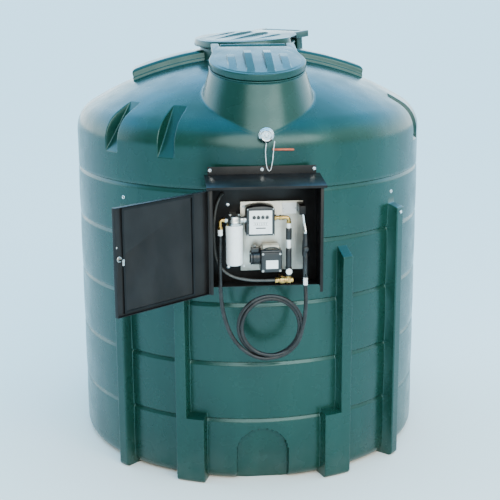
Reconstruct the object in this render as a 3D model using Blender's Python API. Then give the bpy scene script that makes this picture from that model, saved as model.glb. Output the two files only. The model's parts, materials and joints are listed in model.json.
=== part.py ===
"""Round plastic fuel storage tank with a steel dispensing cabinet on its front.

Metres, +Z up. The tank's axis is the Z axis, it stands on z = 0, and its front, with the
cabinet and the sloping hatch, faces -Y. Azimuths are in degrees from the front, and a
positive one turns toward +X.
"""
import math

import bmesh
import bpy
from mathutils import Matrix, Vector

GAP = 0.0003                # between two pieces that touch

# Tank body
WALL_R = 1.205
WALL_INNER_R = 1.185
WALL_SEGMENTS = 6
FIRST_SEGMENT_AZ = -75.0
COLUMN_STEP = 7.5           # degrees between the wall's facets
RIB_Z = (0.429, 0.818, 1.216, 1.615)
SEAM_Z = 1.948
RIB_DEPTH = 0.010
RIB_LEDGE = 0.022           # height of the ledge under a rib line
RIB_LIP = 0.006
FOOT_R = 0.075              # rounding of the wall's foot
FLOOR_R = 1.110
FLOOR_T = 0.012

# Roof: a short skirt, a rounded shoulder and a shallow dome
ROOF_T = 0.015
SHOULDER_R = 0.211
SHOULDER_Z = 2.201
DOME_R = 2.145
DOME_CENTRE_Z = 0.542
ROOF_RING_RADII = (1.05, 0.90, 0.72, 0.54, 0.36, 0.18)
SLOT_AZ = (-52.0, -30.0, 68.0, 90.0, 188.0, 210.0)
SLOT_HALF = 2.85            # degrees
SLOT_DRAFT = 0.25           # degrees taken by each side wall of a slot
SLOT_BOTTOM_Z = 2.137
SLOT_TOP_R = 0.997

# Beam moulded across the roof
BEAM_END_X = 0.81
BEAM_HALF_Y = 0.13
BEAM_H = 0.072
BEAM_FACETS = 10

# Arched recess at the foot of the front
ARCH_X = -0.014
ARCH_HALF = 0.172
ARCH_TOP_Z = 0.360
ARCH_DEPTH = 0.070
ARCH_SKIN = 0.012
ARCH_FACETS = 14

# Buttress legs: azimuth of the middle, front radius, half-width, top of the front edge
LEG_FRONT_R = 1.285
LEG_HALF = 0.037
INNER_LEG_AZ = 25.1
INNER_LEG_TOP = 1.495
INNER_LEG_HEAD = 0.065      # height of the slope at the top of a leg
OUTER_LEG_AZ = 46.7
OUTER_LEG_TOP = 1.752
OUTER_LEG_HEAD = 0.022
FOOT_REACH = 0.152          # how far a foot runs toward the front from its leg's middle
FOOT_TOP = 0.447

# Central turret and its lid
TURRET_R = 0.330
TURRET_WALL = 0.018
TURRET_LID_R = 0.375
TURRET_LID_Z = 2.822        # top of the rim on the axis
TURRET_TILT = 3.4
TURRET_HINGE_AZ = 135.0

# Front hatch and its lid
HATCH_Y = -0.80
HATCH_LID_R = 0.310
HATCH_LID_Z = 2.719
HATCH_TILT = 12.4
HATCH_WALL = 0.018
HATCH_NECK = ((0.394, 2.20), (0.394, 2.36), (0.389, 2.42), (0.372, 2.50), (0.340, 2.60),
              (0.3125, 2.69), (0.3125, 2.85))

LID_T = 0.044
LID_SKIN = 0.010
LID_SKIRT = 0.014
LID_EAR_HALF = 0.027
HINGE_PIN_R = 0.008
PIN_CLEARANCE = 0.0004

# Filling point under the hatch
FILL_X = 0.010
FILL_Z = 2.300
FILL_PIPE_R = 0.038
FILL_CAP_R = 0.048

# Cabinet
CAB_X = -0.014
CAB_HALF = 0.342
CAB_BACK_Y = -1.2205
CAB_FRONT_Y = -1.515
CAB_BOTTOM = 1.375
SHEET = 0.0025
FLANGE_HALF = 0.3365
FLANGE_TOP = 2.106
CANOPY_HALF = 0.359
CANOPY_BACK_Z = 2.057
CANOPY_FRONT_Y = -1.535
CANOPY_FRONT_Z = 2.036
CANOPY_LIP = 0.016
FLOOR_FRONT_Y = -1.350      # the hoses drop past the cabinet floor's front edge
RETURN_W = 0.018
PAD_HALF = 0.300
PAD_Z = (1.44, 2.09)

# Cabinet door, modelled shut and then swung open about its hinge
DOOR_OPEN = 141.0
DOOR_W = 0.690
DOOR_Z = (1.379, 2.012)
DOOR_T = 0.026
DOOR_CLEAR = 0.0055
DOOR_AXIS_X = CAB_X - CAB_HALF - 0.0065
DOOR_AXIS_Y = CAB_FRONT_Y - 0.003
HINGE_ROD_R = 0.0035
KNUCKLE_R = 0.0052
KNUCKLES = 7                # the door has every other one, the hinge's fixed leaf the rest
LOCK_ALONG = 0.652
LOCK_Z = 1.712
LOCK_ARM = 0.028

# Equipment plate and what it carries
PLATE_X = (-0.154, 0.236)
PLATE_Z = (1.455, 1.893)
PLATE_Y = -1.262
METER_X = (-0.127, 0.047)
METER_Z = (1.704, 1.888)
METER_FRONT_Y = -1.392
FILTER_X = -0.200
FILTER_Y = -1.370
FILTER_R = 0.052
FILTER_Z = (1.520, 1.772)
FILTER_HEAD_TOP = 1.836
ELBOW_X = -0.286
ELBOW_Z = 1.803
FITTING_R = 0.016
FERRULE_BOTTOM = 1.708
PUMP_X = (-0.040, 0.092)
PUMP_Z = (1.470, 1.628)
PUMP_FRONT_Y = -1.400
MOTOR_R = 0.048
RISER_X = 0.137
RISER_Y = -1.350
RISER_TOP = 1.795
RISER_BOTTOM = 1.436
RISER_R = 0.013
NOZZLE_X = 0.238
NOZZLE_Y = -1.385
NOZZLE_Z = (1.432, 1.712)
SPOUT_TOP_X = 0.217
SPOUT_TOP_Z = 1.862
SPOUT_R = 0.011
HOLDER_Z = (1.832, 1.886)

# Hoses
HOSE_R = 0.0125
COIL_X = 0.017
COIL_Z = 1.123
COIL_Y = -1.395
COIL_MEAN_R = 0.182
COIL_BAND = 0.040
COIL_DEPTH = 0.054
SUCTION_R = 0.009
TETHER_R = 0.002

COLOURS = {
    "green_polyethylene": ((0.030, 0.150, 0.120, 1.0), 0.42, 0.0),
    "charcoal_steel": ((0.022, 0.024, 0.030, 1.0), 0.38, 0.0),
    "stainless": ((0.52, 0.50, 0.45, 1.0), 0.35, 1.0),
    "black_casting": ((0.015, 0.015, 0.017, 1.0), 0.45, 0.0),
    "white_paint": ((0.78, 0.79, 0.80, 1.0), 0.35, 0.0),
    "brass": ((0.62, 0.42, 0.16, 1.0), 0.30, 1.0),
    "zinc": ((0.70, 0.70, 0.70, 1.0), 0.30, 1.0),
    "hose_rubber": ((0.020, 0.020, 0.022, 1.0), 0.50, 0.0),
    "orange_plastic": ((0.62, 0.12, 0.05, 1.0), 0.45, 0.0),
}


def material(name):
    """The Principled material of one of the named finishes."""
    found = bpy.data.materials.get(name)
    if found:
        return found
    colour, roughness, metallic = COLOURS[name]
    made = bpy.data.materials.new(name)
    made.use_nodes = True
    shader = made.node_tree.nodes["Principled BSDF"]
    shader.inputs["Base Color"].default_value = colour
    shader.inputs["Roughness"].default_value = roughness
    shader.inputs["Metallic"].default_value = metallic
    return made


def object_from(bm, name, finish, smooth=False):
    """Turn a bmesh into a named object with its material."""
    bmesh.ops.recalc_face_normals(bm, faces=bm.faces)
    mesh = bpy.data.meshes.new(name)
    bm.to_mesh(mesh)
    bm.free()
    made = bpy.data.objects.new(name, mesh)
    bpy.context.collection.objects.link(made)
    mesh.materials.append(material(finish))
    if smooth:
        mesh.shade_smooth()
        mesh.set_sharp_from_angle(angle=math.radians(30))
    return made


def polar(azimuth, radius, z):
    """World point at an azimuth in degrees from the front."""
    a = math.radians(azimuth)
    return Vector((radius * math.sin(a), -radius * math.cos(a), z))


def prism(name, finish, outline, low, high, axis="Z"):
    """Extrude a flat outline along an axis. The outline holds the other two coordinates."""
    def place(point, level):
        u, v = point
        return {"X": (level, u, v), "Y": (u, level, v), "Z": (u, v, level)}[axis]
    bm = bmesh.new()
    bottom = bm.faces.new([bm.verts.new(place(p, low)) for p in outline])
    grown = bmesh.ops.extrude_face_region(bm, geom=[bottom])
    top = [v for v in grown["geom"] if isinstance(v, bmesh.types.BMVert)]
    step = Vector(place((0.0, 0.0), high - low))
    bmesh.ops.translate(bm, vec=step, verts=top)
    return object_from(bm, name, finish)


def box(name, finish, low, high):
    """A block between two corners."""
    outline = [(low[0], low[1]), (high[0], low[1]), (high[0], high[1]), (low[0], high[1])]
    return prism(name, finish, outline, low[2], high[2])


def turned(name, finish, profile, sides, centre=(0.0, 0.0, 0.0), axis="Z", smooth=True):
    """Spin a closed profile of (radius, height) points about an axis through the centre."""
    bm = bmesh.new()
    rings = []
    for i in range(sides):
        a = 2.0 * math.pi * i / sides
        rings.append([bm.verts.new((r * math.cos(a), r * math.sin(a), h)) if r > 0.0 else None
                      for r, h in profile])
    poles = [bm.verts.new((0.0, 0.0, h)) if r == 0.0 else None for r, h in profile]
    count = len(profile)
    for i in range(sides):
        near, far = rings[i], rings[(i + 1) % sides]
        for j in range(count):
            k = (j + 1) % count
            corners = [near[j] or poles[j], far[j] or poles[j], far[k] or poles[k], near[k] or poles[k]]
            unique = [v for n, v in enumerate(corners) if v not in corners[:n]]
            if len(unique) > 2:
                bm.faces.new(unique)
    turn = {"Z": Matrix.Identity(4), "X": Matrix.Rotation(math.radians(90), 4, "Y"),
            "Y": Matrix.Rotation(math.radians(90), 4, "X")}[axis]
    bmesh.ops.transform(bm, matrix=Matrix.Translation(centre) @ turn, verts=bm.verts)
    return object_from(bm, name, finish, smooth)


def rod(name, finish, start, end, radius, sides=20):
    """A plain round bar between two points."""
    start, end = Vector(start), Vector(end)
    along = end - start
    bm = bmesh.new()
    bmesh.ops.create_cone(bm, cap_ends=True, segments=sides, radius1=radius, radius2=radius,
                          depth=along.length)
    turn = along.to_track_quat("Z", "Y").to_matrix().to_4x4()
    bmesh.ops.transform(bm, matrix=Matrix.Translation((start + end) / 2) @ turn, verts=bm.verts)
    return object_from(bm, name, finish, smooth=True)


def tube(name, finish, points, radius, resolution=2):
    """A hose: a poly curve through its points, with a round section and filled caps."""
    data = bpy.data.curves.new(name, "CURVE")
    data.dimensions = "3D"
    data.bevel_depth = radius
    data.bevel_resolution = resolution
    data.use_fill_caps = True
    spline = data.splines.new("POLY")
    spline.points.add(len(points) - 1)
    for point, place in zip(spline.points, points):
        point.co = (*place, 1.0)
    made = bpy.data.objects.new(name, data)
    bpy.context.collection.objects.link(made)
    data.materials.append(material(finish))
    return made


def smooth_route(stations, spacing):
    """Points a fixed step apart along a smooth curve through the stations."""
    places = [Vector(p) for p in stations]
    ends = [places[0] * 2 - places[1]] + places + [places[-1] * 2 - places[-2]]
    dense = []
    for i in range(1, len(ends) - 2):
        a, b, c, d = ends[i - 1:i + 3]
        for k in range(24):
            t = k / 24.0
            dense.append(0.5 * ((2 * b) + (c - a) * t + (2 * a - 5 * b + 4 * c - d) * t * t
                                + (3 * b - a - 3 * c + d) * t ** 3))
    dense.append(places[-1])
    total = sum((q - p).length for p, q in zip(dense, dense[1:]))
    steps = max(2, round(total / spacing))
    route, walked, target = [dense[0]], 0.0, total / steps
    for p, q in zip(dense, dense[1:]):
        length = (q - p).length
        while walked + length >= target - 1e-9 and len(route) < steps:
            route.append(p.lerp(q, (target - walked) / length))
            target += total / steps
        walked += length
    route.append(dense[-1])
    return route


def combine(target, other, operation):
    """Apply an exact Boolean of another object to the target, and drop the other object."""
    modifier = target.modifiers.new("combine", "BOOLEAN")
    modifier.operation = operation
    modifier.solver = "EXACT"
    modifier.object = other
    bpy.context.view_layer.update()
    graph = bpy.context.evaluated_depsgraph_get()
    result = bpy.data.meshes.new_from_object(target.evaluated_get(graph))
    target.modifiers.clear()
    target.data = result
    bpy.data.objects.remove(other)
    return target


def cut(target, other):
    return combine(target, other, "DIFFERENCE")


def weld(target, other):
    return combine(target, other, "UNION")


def place_at(made, matrix):
    """Move an object's mesh, so that its own origin stays on the tank's."""
    made.data.transform(matrix)
    made.data.update()
    return made


def wall_profile():
    """Outer line of the wall, bottom to top, with a groove at each rib."""
    line = []
    for share in range(5):
        a = math.radians(22.5 * share)
        line.append((WALL_R - FOOT_R + FOOT_R * math.sin(a), FOOT_R - FOOT_R * math.cos(a)))
    for z in RIB_Z:
        line += [(WALL_R, z - RIB_LEDGE), (WALL_R - RIB_DEPTH, z), (WALL_R, z + RIB_LIP)]
    line += [(WALL_R, SEAM_Z - RIB_LEDGE), (WALL_R - RIB_DEPTH, SEAM_Z - GAP)]
    return line


def sector(name, finish, profile, azimuths):
    """Sweep a closed (radius, z) profile over some azimuths, with flat ends."""
    bm = bmesh.new()
    rows = [[bm.verts.new(polar(a, r, z)) for r, z in profile] for a in azimuths]
    for near, far in zip(rows, rows[1:]):
        for j in range(len(profile)):
            k = (j + 1) % len(profile)
            bm.faces.new((near[j], far[j], far[k], near[k]))
    bm.faces.new(rows[0])
    bm.faces.new(rows[-1])
    return object_from(bm, name, finish, smooth=True)


def wall_block(grow):
    """Everything inside the wall's face, grown by a little: what lies on the wall is cut by it."""
    line = [(r + grow, z) for r, z in wall_profile()]
    line = [(0.0, -0.05), (line[0][0], -0.05)] + line + [(0.0, SEAM_Z - GAP)]
    sides = round(360 / COLUMN_STEP)
    block = turned("wall_block", "green_polyethylene", line, sides, smooth=False)
    return block


def arch_outline(grow):
    """Outline of the arched recess in X and Z, grown on all sides but the foot."""
    half, top = ARCH_HALF + grow, ARCH_TOP_Z + grow
    spring = top - half
    line = [(ARCH_X - half, -0.02), (ARCH_X + half, -0.02)]
    for i in range(ARCH_FACETS + 1):
        a = math.pi * i / ARCH_FACETS
        line.append((ARCH_X + half * math.cos(a), spring + half * math.sin(a)))
    return line


def build_wall():
    """Six wall segments, and the flat floor inside their foot."""
    inner = [(WALL_INNER_R, SEAM_Z - GAP), (WALL_INNER_R, FOOT_R), (1.169, 0.036), (1.130, 0.020),
             (FLOOR_R + GAP, FLOOR_T), (FLOOR_R + GAP, 0.0)]
    profile = wall_profile() + inner
    span = 360.0 / WALL_SEGMENTS
    trim = math.degrees(GAP / 2 / WALL_R)
    names = ("wall_front_left", "wall_front_right", "wall_right", "wall_back_right",
             "wall_back_left", "wall_left")
    for i, name in enumerate(names):
        first = FIRST_SEGMENT_AZ + i * span
        steps = round(span / COLUMN_STEP)
        azimuths = [first + k * COLUMN_STEP for k in range(steps + 1)]
        azimuths[0] += trim
        azimuths[-1] -= trim
        segment = sector(name, "green_polyethylene", profile, azimuths)
        if name == "wall_front_right":
            back_y = -WALL_R + ARCH_DEPTH
            liner = prism("liner", "green_polyethylene", arch_outline(ARCH_SKIN),
                          back_y + ARCH_SKIN, -WALL_INNER_R - 0.004, axis="Y")
            combine(liner, wall_block(-0.002), "INTERSECT")
            cut(liner, box("below", "green_polyethylene", (-1, -2, -1), (1, 0, 0.0)))
            weld(segment, liner)
            cut(segment, prism("recess", "green_polyethylene", arch_outline(0.0), -1.4, back_y, axis="Y"))
    floor = turned("floor", "green_polyethylene",
                   [(0.0, 0.0), (FLOOR_R, 0.0), (FLOOR_R, FLOOR_T), (0.0, FLOOR_T)], 48)
    inner_recess = arch_outline(ARCH_SKIN + GAP)
    cut(floor, prism("recess", "green_polyethylene", inner_recess, -1.4,
                     -WALL_R + ARCH_DEPTH + ARCH_SKIN + GAP, axis="Y"))


def roof_line(inset, slotted):
    """Roof profile from the skirt to the pole, moved in by an inset along its normals."""
    line = [(WALL_R - RIB_DEPTH, SEAM_Z, 1.0, 0.0), (WALL_R, SEAM_Z + RIB_LIP, 1.0, 0.0),
            (WALL_R, SLOT_BOTTOM_Z, 1.0, 0.0), (WALL_R, SHOULDER_Z, 1.0, 0.0)]
    arc_end = 90.0 - math.degrees(math.asin((WALL_R - SHOULDER_R) / (DOME_R - SHOULDER_R)))
    for share in (0.25, 0.5, 0.75, 1.0):
        a = math.radians(arc_end * share)
        line.append((WALL_R - SHOULDER_R + SHOULDER_R * math.cos(a),
                     SHOULDER_Z + SHOULDER_R * math.sin(a), math.cos(a), math.sin(a)))
    radii = sorted(ROOF_RING_RADII + (SLOT_TOP_R,), reverse=True)
    for r in radii:
        rise = math.sqrt(DOME_R ** 2 - r ** 2)
        line.append((r, DOME_CENTRE_Z + rise, r / DOME_R, rise / DOME_R))
    if slotted:
        top_z = DOME_CENTRE_Z + math.sqrt(DOME_R ** 2 - SLOT_TOP_R ** 2)
        start, end = Vector((WALL_R, SLOT_BOTTOM_Z)), Vector((SLOT_TOP_R, top_z))
        chord = (end - start).normalized()
        normal = Vector((chord.y, -chord.x))
        changed = []
        for r, z, nr, nz in line:
            if r >= SLOT_TOP_R and z >= SLOT_BOTTOM_Z:
                foot = start + chord * (Vector((r, z)) - start).dot(chord)
                r, z, nr, nz = foot.x, foot.y, normal.x, normal.y
            changed.append((r, z, nr, nz))
        line = changed
    points = [(r - nr * inset, z - nz * inset) for r, z, nr, nz in line]
    points[0] = (WALL_INNER_R if inset > 0 else points[0][0], SEAM_Z)
    return points


def roof_columns():
    """Azimuths of the roof's facets, each with whether a slot's floor runs along it."""
    columns = []
    for centre in SLOT_AZ:
        for offset, slotted in ((-SLOT_HALF, False), (-SLOT_HALF + SLOT_DRAFT, True), (0.0, True),
                                (SLOT_HALF - SLOT_DRAFT, True), (SLOT_HALF, False)):
            columns.append(((centre + offset) % 360.0, slotted))
    taken = [a for a, _ in columns]
    for i in range(round(360 / COLUMN_STEP)):
        a = (i * COLUMN_STEP) % 360.0
        nearest = min(abs((a - t + 180) % 360 - 180) for t in taken)
        inside = any(abs((a - c + 180) % 360 - 180) < SLOT_HALF for c in SLOT_AZ)
        if nearest > 1.0 and not inside:
            columns.append((a, False))
    return sorted(columns)


def roof_skin(bm, columns, inset):
    """One face of the roof: its rows of vertices and its pole."""
    rows = [[bm.verts.new(polar(a, r, z)) for r, z in roof_line(inset, slotted)]
            for a, slotted in columns]
    pole = bm.verts.new((0.0, 0.0, DOME_CENTRE_Z + DOME_R - inset))
    for near, far in zip(rows, rows[1:] + rows[:1]):
        for j in range(len(near) - 1):
            bm.faces.new((near[j], far[j], far[j + 1], near[j + 1]))
        bm.faces.new((near[-1], far[-1], pole))
    return rows


def roof_block(inset):
    """The whole space under one face of the roof, as a closed cutter."""
    bm = bmesh.new()
    rows = roof_skin(bm, roof_columns(), inset)
    foot = [bm.verts.new(row[0].co - Vector((0, 0, 0.2))) for row in rows]
    for i, row in enumerate(rows):
        k = (i + 1) % len(rows)
        bm.faces.new((foot[i], foot[k], rows[k][0], row[0]))
    bm.faces.new(foot)
    return object_from(bm, "roof_block", "green_polyethylene")


def neck_solid(name, grow):
    """The front neck's outer form, filled, grown by a gap."""
    line = [(0.0, HATCH_NECK[0][1])] + [(r + grow, z) for r, z in HATCH_NECK]
    line += [(0.0, HATCH_NECK[-1][1])]
    return turned(name, "green_polyethylene", line, 48, centre=(0.0, HATCH_Y, 0.0))


def above_plane(centre, tilt, azimuth, level):
    """A large block over a tilted lid's underside, in the world."""
    block = box("above", "green_polyethylene", (-1.0, -1.0, level), (1.0, 1.0, level + 1.0))
    return place_at(block, lid_matrix(centre, tilt, azimuth))


def lid_matrix(centre, tilt, azimuth):
    """Frame of a lid: its hinge lies toward local +Y, at an azimuth, and is the high side."""
    turn = Matrix.Rotation(math.radians(azimuth - 180.0), 4, "Z")
    return Matrix.Translation(centre) @ turn @ Matrix.Rotation(math.radians(tilt), 4, "X")


def build_roof():
    """Slotted domed roof with a hole at each neck, the two necks and the two beam halves."""
    bm = bmesh.new()
    columns = roof_columns()
    outer = roof_skin(bm, columns, 0.0)
    inner = roof_skin(bm, columns, ROOF_T)
    for i in range(len(columns)):
        k = (i + 1) % len(columns)
        bm.faces.new((outer[i][0], outer[k][0], inner[k][0], inner[i][0]))
    roof = object_from(bm, "roof", "green_polyethylene", smooth=True)
    cut(roof, rod("hole", "green_polyethylene", (0, 0, 2.4), (0, 0, 3.0), TURRET_R + GAP, 48))
    cut(roof, neck_solid("hole", GAP))

    turret = turned("turret_neck", "green_polyethylene",
                    [(TURRET_R, 2.58), (TURRET_R, 2.95), (TURRET_R - TURRET_WALL, 2.95),
                     (TURRET_R - TURRET_WALL, 2.58)], 48)
    cut(turret, above_plane((0, 0, TURRET_LID_Z), TURRET_TILT, TURRET_HINGE_AZ, -LID_T - GAP))
    cut(turret, roof_block(ROOF_T))

    neck = neck_solid("hatch_neck", 0.0)
    hollow = [(0.0, HATCH_NECK[0][1] - 0.01)]
    hollow += [(r - HATCH_WALL, z + (0.01 if i else -0.01) * (i == 0)) for i, (r, z) in enumerate(HATCH_NECK)]
    hollow += [(HATCH_NECK[-1][0] - HATCH_WALL, 2.90), (0.0, 2.90)]
    cut(neck, turned("bore", "green_polyethylene", hollow, 48, centre=(0.0, HATCH_Y, 0.0)))
    cut(neck, above_plane((0, HATCH_Y, HATCH_LID_Z), HATCH_TILT, 180.0, -LID_T - GAP))
    cut(neck, roof_block(ROOF_T))

    for side, name in ((-1, "roof_beam_left"), (1, "roof_beam_right")):
        outline = []
        for i in range(BEAM_FACETS + 1):
            x = BEAM_END_X * i / BEAM_FACETS
            outline.append((side * x, DOME_CENTRE_Z + math.sqrt((DOME_R + BEAM_H) ** 2 - x ** 2)))
        outline += [(side * BEAM_END_X, 2.40), (0.0, 2.40)]
        beam = prism(name, "green_polyethylene", outline, -BEAM_HALF_Y, BEAM_HALF_Y, axis="Y")
        cut(beam, roof_block(-GAP))
        cut(beam, rod("hole", "green_polyethylene", (0, 0, 2.4), (0, 0, 3.0), TURRET_R + GAP, 48))


def lid_outline(radius, ear_x, ear_y, back_y):
    """Round front, straight back and two ears that reach behind it for the hinge."""
    line = []
    for i in range(25):
        a = math.radians(180.0 + 180.0 * i / 24)
        line.append((radius * math.cos(a), radius * math.sin(a)))
    line += [(radius * 0.985, radius * 0.25), (ear_x + LID_EAR_HALF, radius * 0.62),
             (ear_x + LID_EAR_HALF, ear_y), (ear_x - LID_EAR_HALF, ear_y),
             (ear_x - LID_EAR_HALF, back_y)]
    line += [(-x, y) for x, y in reversed(line[-5:])]
    return line


def build_lid(lid_name, hinge_name, radius, ear_x, centre, tilt, azimuth, anchor_depth):
    """A hatch lid with two ears, and the fixed hinge bar between them."""
    back_y, axis_y, ear_y = radius * 0.97, radius * 0.97 + 0.050, radius * 0.97 + 0.075
    axis_z = -LID_T / 2
    lid = prism(lid_name, "green_polyethylene", lid_outline(radius, ear_x, ear_y, back_y), -LID_T, 0.0)
    crown = turned("crown", "green_polyethylene",
                   [(0.0, -0.004), (radius * 0.86, -0.004), (radius * 0.80, 0.006), (0.0, 0.014)], 32)
    weld(lid, crown)
    cut(lid, rod("recess", "green_polyethylene", (0, 0, -LID_T - 0.01), (0, 0, -LID_SKIN),
                 radius - LID_SKIRT, 48))
    reach = ear_x + LID_EAR_HALF
    bore = HINGE_PIN_R + PIN_CLEARANCE
    cut(lid, rod("bore", "green_polyethylene", (-reach - 0.01, axis_y, axis_z),
                 (reach + 0.01, axis_y, axis_z), bore))
    hinge = rod(hinge_name, "green_polyethylene", (-reach, axis_y, axis_z), (reach, axis_y, axis_z),
                HINGE_PIN_R)
    block_half = ear_x - LID_EAR_HALF - 0.006
    weld(hinge, box("block", "green_polyethylene", (-block_half, back_y + 0.006, -LID_T - anchor_depth),
                    (block_half, ear_y - 0.008, -0.014)))
    matrix = lid_matrix(centre, tilt, azimuth)
    place_at(lid, matrix)
    place_at(hinge, matrix)
    return hinge


def build_lids():
    """The front hatch lid and the central turret lid."""
    hinge = build_lid("hatch_lid", "hatch_hinge", HATCH_LID_R, 0.252,
                      (0.0, HATCH_Y, HATCH_LID_Z), HATCH_TILT, 180.0, 0.16)
    cut(hinge, roof_block(-GAP))
    cut(hinge, neck_solid("neck", GAP))
    hinge = build_lid("turret_lid", "turret_hinge", TURRET_LID_R, 0.190,
                      (0.0, 0.0, TURRET_LID_Z), TURRET_TILT, TURRET_HINGE_AZ, 0.20)
    cut(hinge, roof_block(-GAP))
    cut(hinge, box("beam", "green_polyethylene", (0.0, -BEAM_HALF_Y - 1, 2.0),
                   (BEAM_END_X, BEAM_HALF_Y + GAP, 2.7655)))


def build_leg(name, side, azimuth, top, head, foot_reach):
    """A buttress leg with a sloping head, and a wider foot toward the front on the inner legs."""
    def slab(label, low, high, level):
        outline = [(1.10, 0.0), (LEG_FRONT_R, 0.0), (LEG_FRONT_R, level),
                   (WALL_R, level + head), (1.10, level + head)]
        made = prism(label, "green_polyethylene", [(-r, z) for r, z in outline], low, high, axis="X")
        return place_at(made, Matrix.Rotation(math.radians(azimuth), 4, "Z"))
    leg = slab(name, -LEG_HALF, LEG_HALF, top)
    if foot_reach:
        if side > 0:
            foot = slab("foot", -foot_reach, 0.0, FOOT_TOP)
        else:
            foot = slab("foot", 0.0, foot_reach, FOOT_TOP)
        weld(leg, foot)
    return cut(leg, wall_block(GAP))


def build_legs():
    """Four legs about the front and four about the back."""
    for end, turn in (("front", 0.0), ("back", 180.0)):
        for label, side in (("left", -1), ("right", 1)):
            inner = turn + side * INNER_LEG_AZ
            outer = turn + side * OUTER_LEG_AZ
            build_leg(f"leg_{end}_{label}", side, inner, INNER_LEG_TOP, INNER_LEG_HEAD, FOOT_REACH)
            build_leg(f"outer_leg_{end}_{label}", side, outer, OUTER_LEG_TOP, OUTER_LEG_HEAD, 0.0)


def build_fill_point():
    """Filling pipe out of the foot of the hatch neck, its cap and the cap's tether."""
    pipe = rod("fill_pipe", "zinc", (FILL_X, -1.10, FILL_Z), (FILL_X, -1.232, FILL_Z), FILL_PIPE_R, 24)
    cut(pipe, roof_block(-GAP))
    cut(pipe, neck_solid("neck", GAP))
    turned("fill_cap", "white_paint",
           [(0.0, 1.2323), (FILL_CAP_R, 1.2323), (FILL_CAP_R, 1.268), (FILL_CAP_R * 0.85, 1.280), (0.0, 1.280)],
           24, centre=(FILL_X, 0.0, FILL_Z), axis="Y")
    drop = FILL_Z - FILL_CAP_R - GAP
    stations = [(FILL_X, -1.250, drop - 0.006), (FILL_X - 0.004, -1.250, drop - 0.03),
                (FILL_X - 0.003, -1.249, 2.155), (FILL_X + 0.005, -1.248, 2.095),
                (FILL_X + 0.018, -1.248, 2.078), (FILL_X + 0.030, -1.248, 2.095),
                (FILL_X + 0.040, -1.248, 2.155), (FILL_X + 0.045, -1.248, 2.215),
                (FILL_X + 0.052, -1.246, 2.262)]
    route = [Vector((FILL_X, -1.250, drop))] + smooth_route(stations, 0.010)
    tube("cap_tether", "white_paint", route, TETHER_R)


def swung(point):
    """A point of the shut door, moved to where the open door has it."""
    turn = Matrix.Rotation(math.radians(-DOOR_OPEN), 4, "Z")
    axis = Vector((DOOR_AXIS_X, DOOR_AXIS_Y, 0.0))
    return Matrix.Translation(axis) @ turn @ Matrix.Translation(-axis)


def build_cabinet():
    """Folded steel housing: back with its mounting flange, sides, floor and canopy."""
    left, right = CAB_X - CAB_HALF, CAB_X + CAB_HALF
    slope = (CANOPY_BACK_Z - CANOPY_FRONT_Z) / (CAB_BACK_Y - CANOPY_FRONT_Y)

    def canopy_z(y):
        return CANOPY_FRONT_Z + slope * (y - CANOPY_FRONT_Y)

    pad = box("cabinet_pad", "green_polyethylene", (CAB_X - PAD_HALF, CAB_BACK_Y + GAP, PAD_Z[0]),
              (CAB_X + PAD_HALF, -1.10, PAD_Z[1]))
    cut(pad, wall_block(GAP))
    cut(pad, roof_block(-GAP))

    flange = [(left, CAB_BOTTOM), (right, CAB_BOTTOM), (right, CANOPY_BACK_Z - 0.01),
              (CAB_X + FLANGE_HALF, CANOPY_BACK_Z), (CAB_X + FLANGE_HALF, FLANGE_TOP),
              (CAB_X - FLANGE_HALF, FLANGE_TOP), (CAB_X - FLANGE_HALF, CANOPY_BACK_Z),
              (left, CANOPY_BACK_Z - 0.01)]
    prism("cabinet_back", "charcoal_steel", flange, CAB_BACK_Y - SHEET, CAB_BACK_Y, axis="Y")

    inside_y = CAB_BACK_Y - SHEET - GAP
    for name, outer, inward in (("cabinet_left_side", left, 1), ("cabinet_right_side", right, -1)):
        web = [(inside_y, CAB_BOTTOM), (CAB_FRONT_Y, CAB_BOTTOM),
               (CAB_FRONT_Y, canopy_z(CAB_FRONT_Y) - SHEET - GAP), (inside_y, canopy_z(inside_y) - SHEET - GAP)]
        low, high = sorted((outer, outer + inward * SHEET))
        side = prism(name, "charcoal_steel", web, low, high, axis="X")
        low, high = sorted((outer, outer + inward * RETURN_W))
        top = canopy_z(CAB_FRONT_Y) - SHEET - GAP
        weld(side, box("return", "charcoal_steel", (low, CAB_FRONT_Y, CAB_BOTTOM),
                       (high, CAB_FRONT_Y + SHEET, top)))
    box("cabinet_floor", "charcoal_steel", (left + SHEET + GAP, FLOOR_FRONT_Y, CAB_BOTTOM),
        (right - SHEET - GAP, inside_y, CAB_BOTTOM + SHEET))

    back_y = inside_y
    canopy = [(back_y, canopy_z(back_y)), (CANOPY_FRONT_Y, CANOPY_FRONT_Z),
              (CANOPY_FRONT_Y, CANOPY_FRONT_Z - CANOPY_LIP),
              (CANOPY_FRONT_Y + SHEET, CANOPY_FRONT_Z - CANOPY_LIP),
              (CANOPY_FRONT_Y + SHEET, CANOPY_FRONT_Z - SHEET), (back_y, canopy_z(back_y) - SHEET)]
    prism("cabinet_canopy", "charcoal_steel", canopy, CAB_X - CANOPY_HALF, CAB_X + CANOPY_HALF, axis="X")


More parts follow.
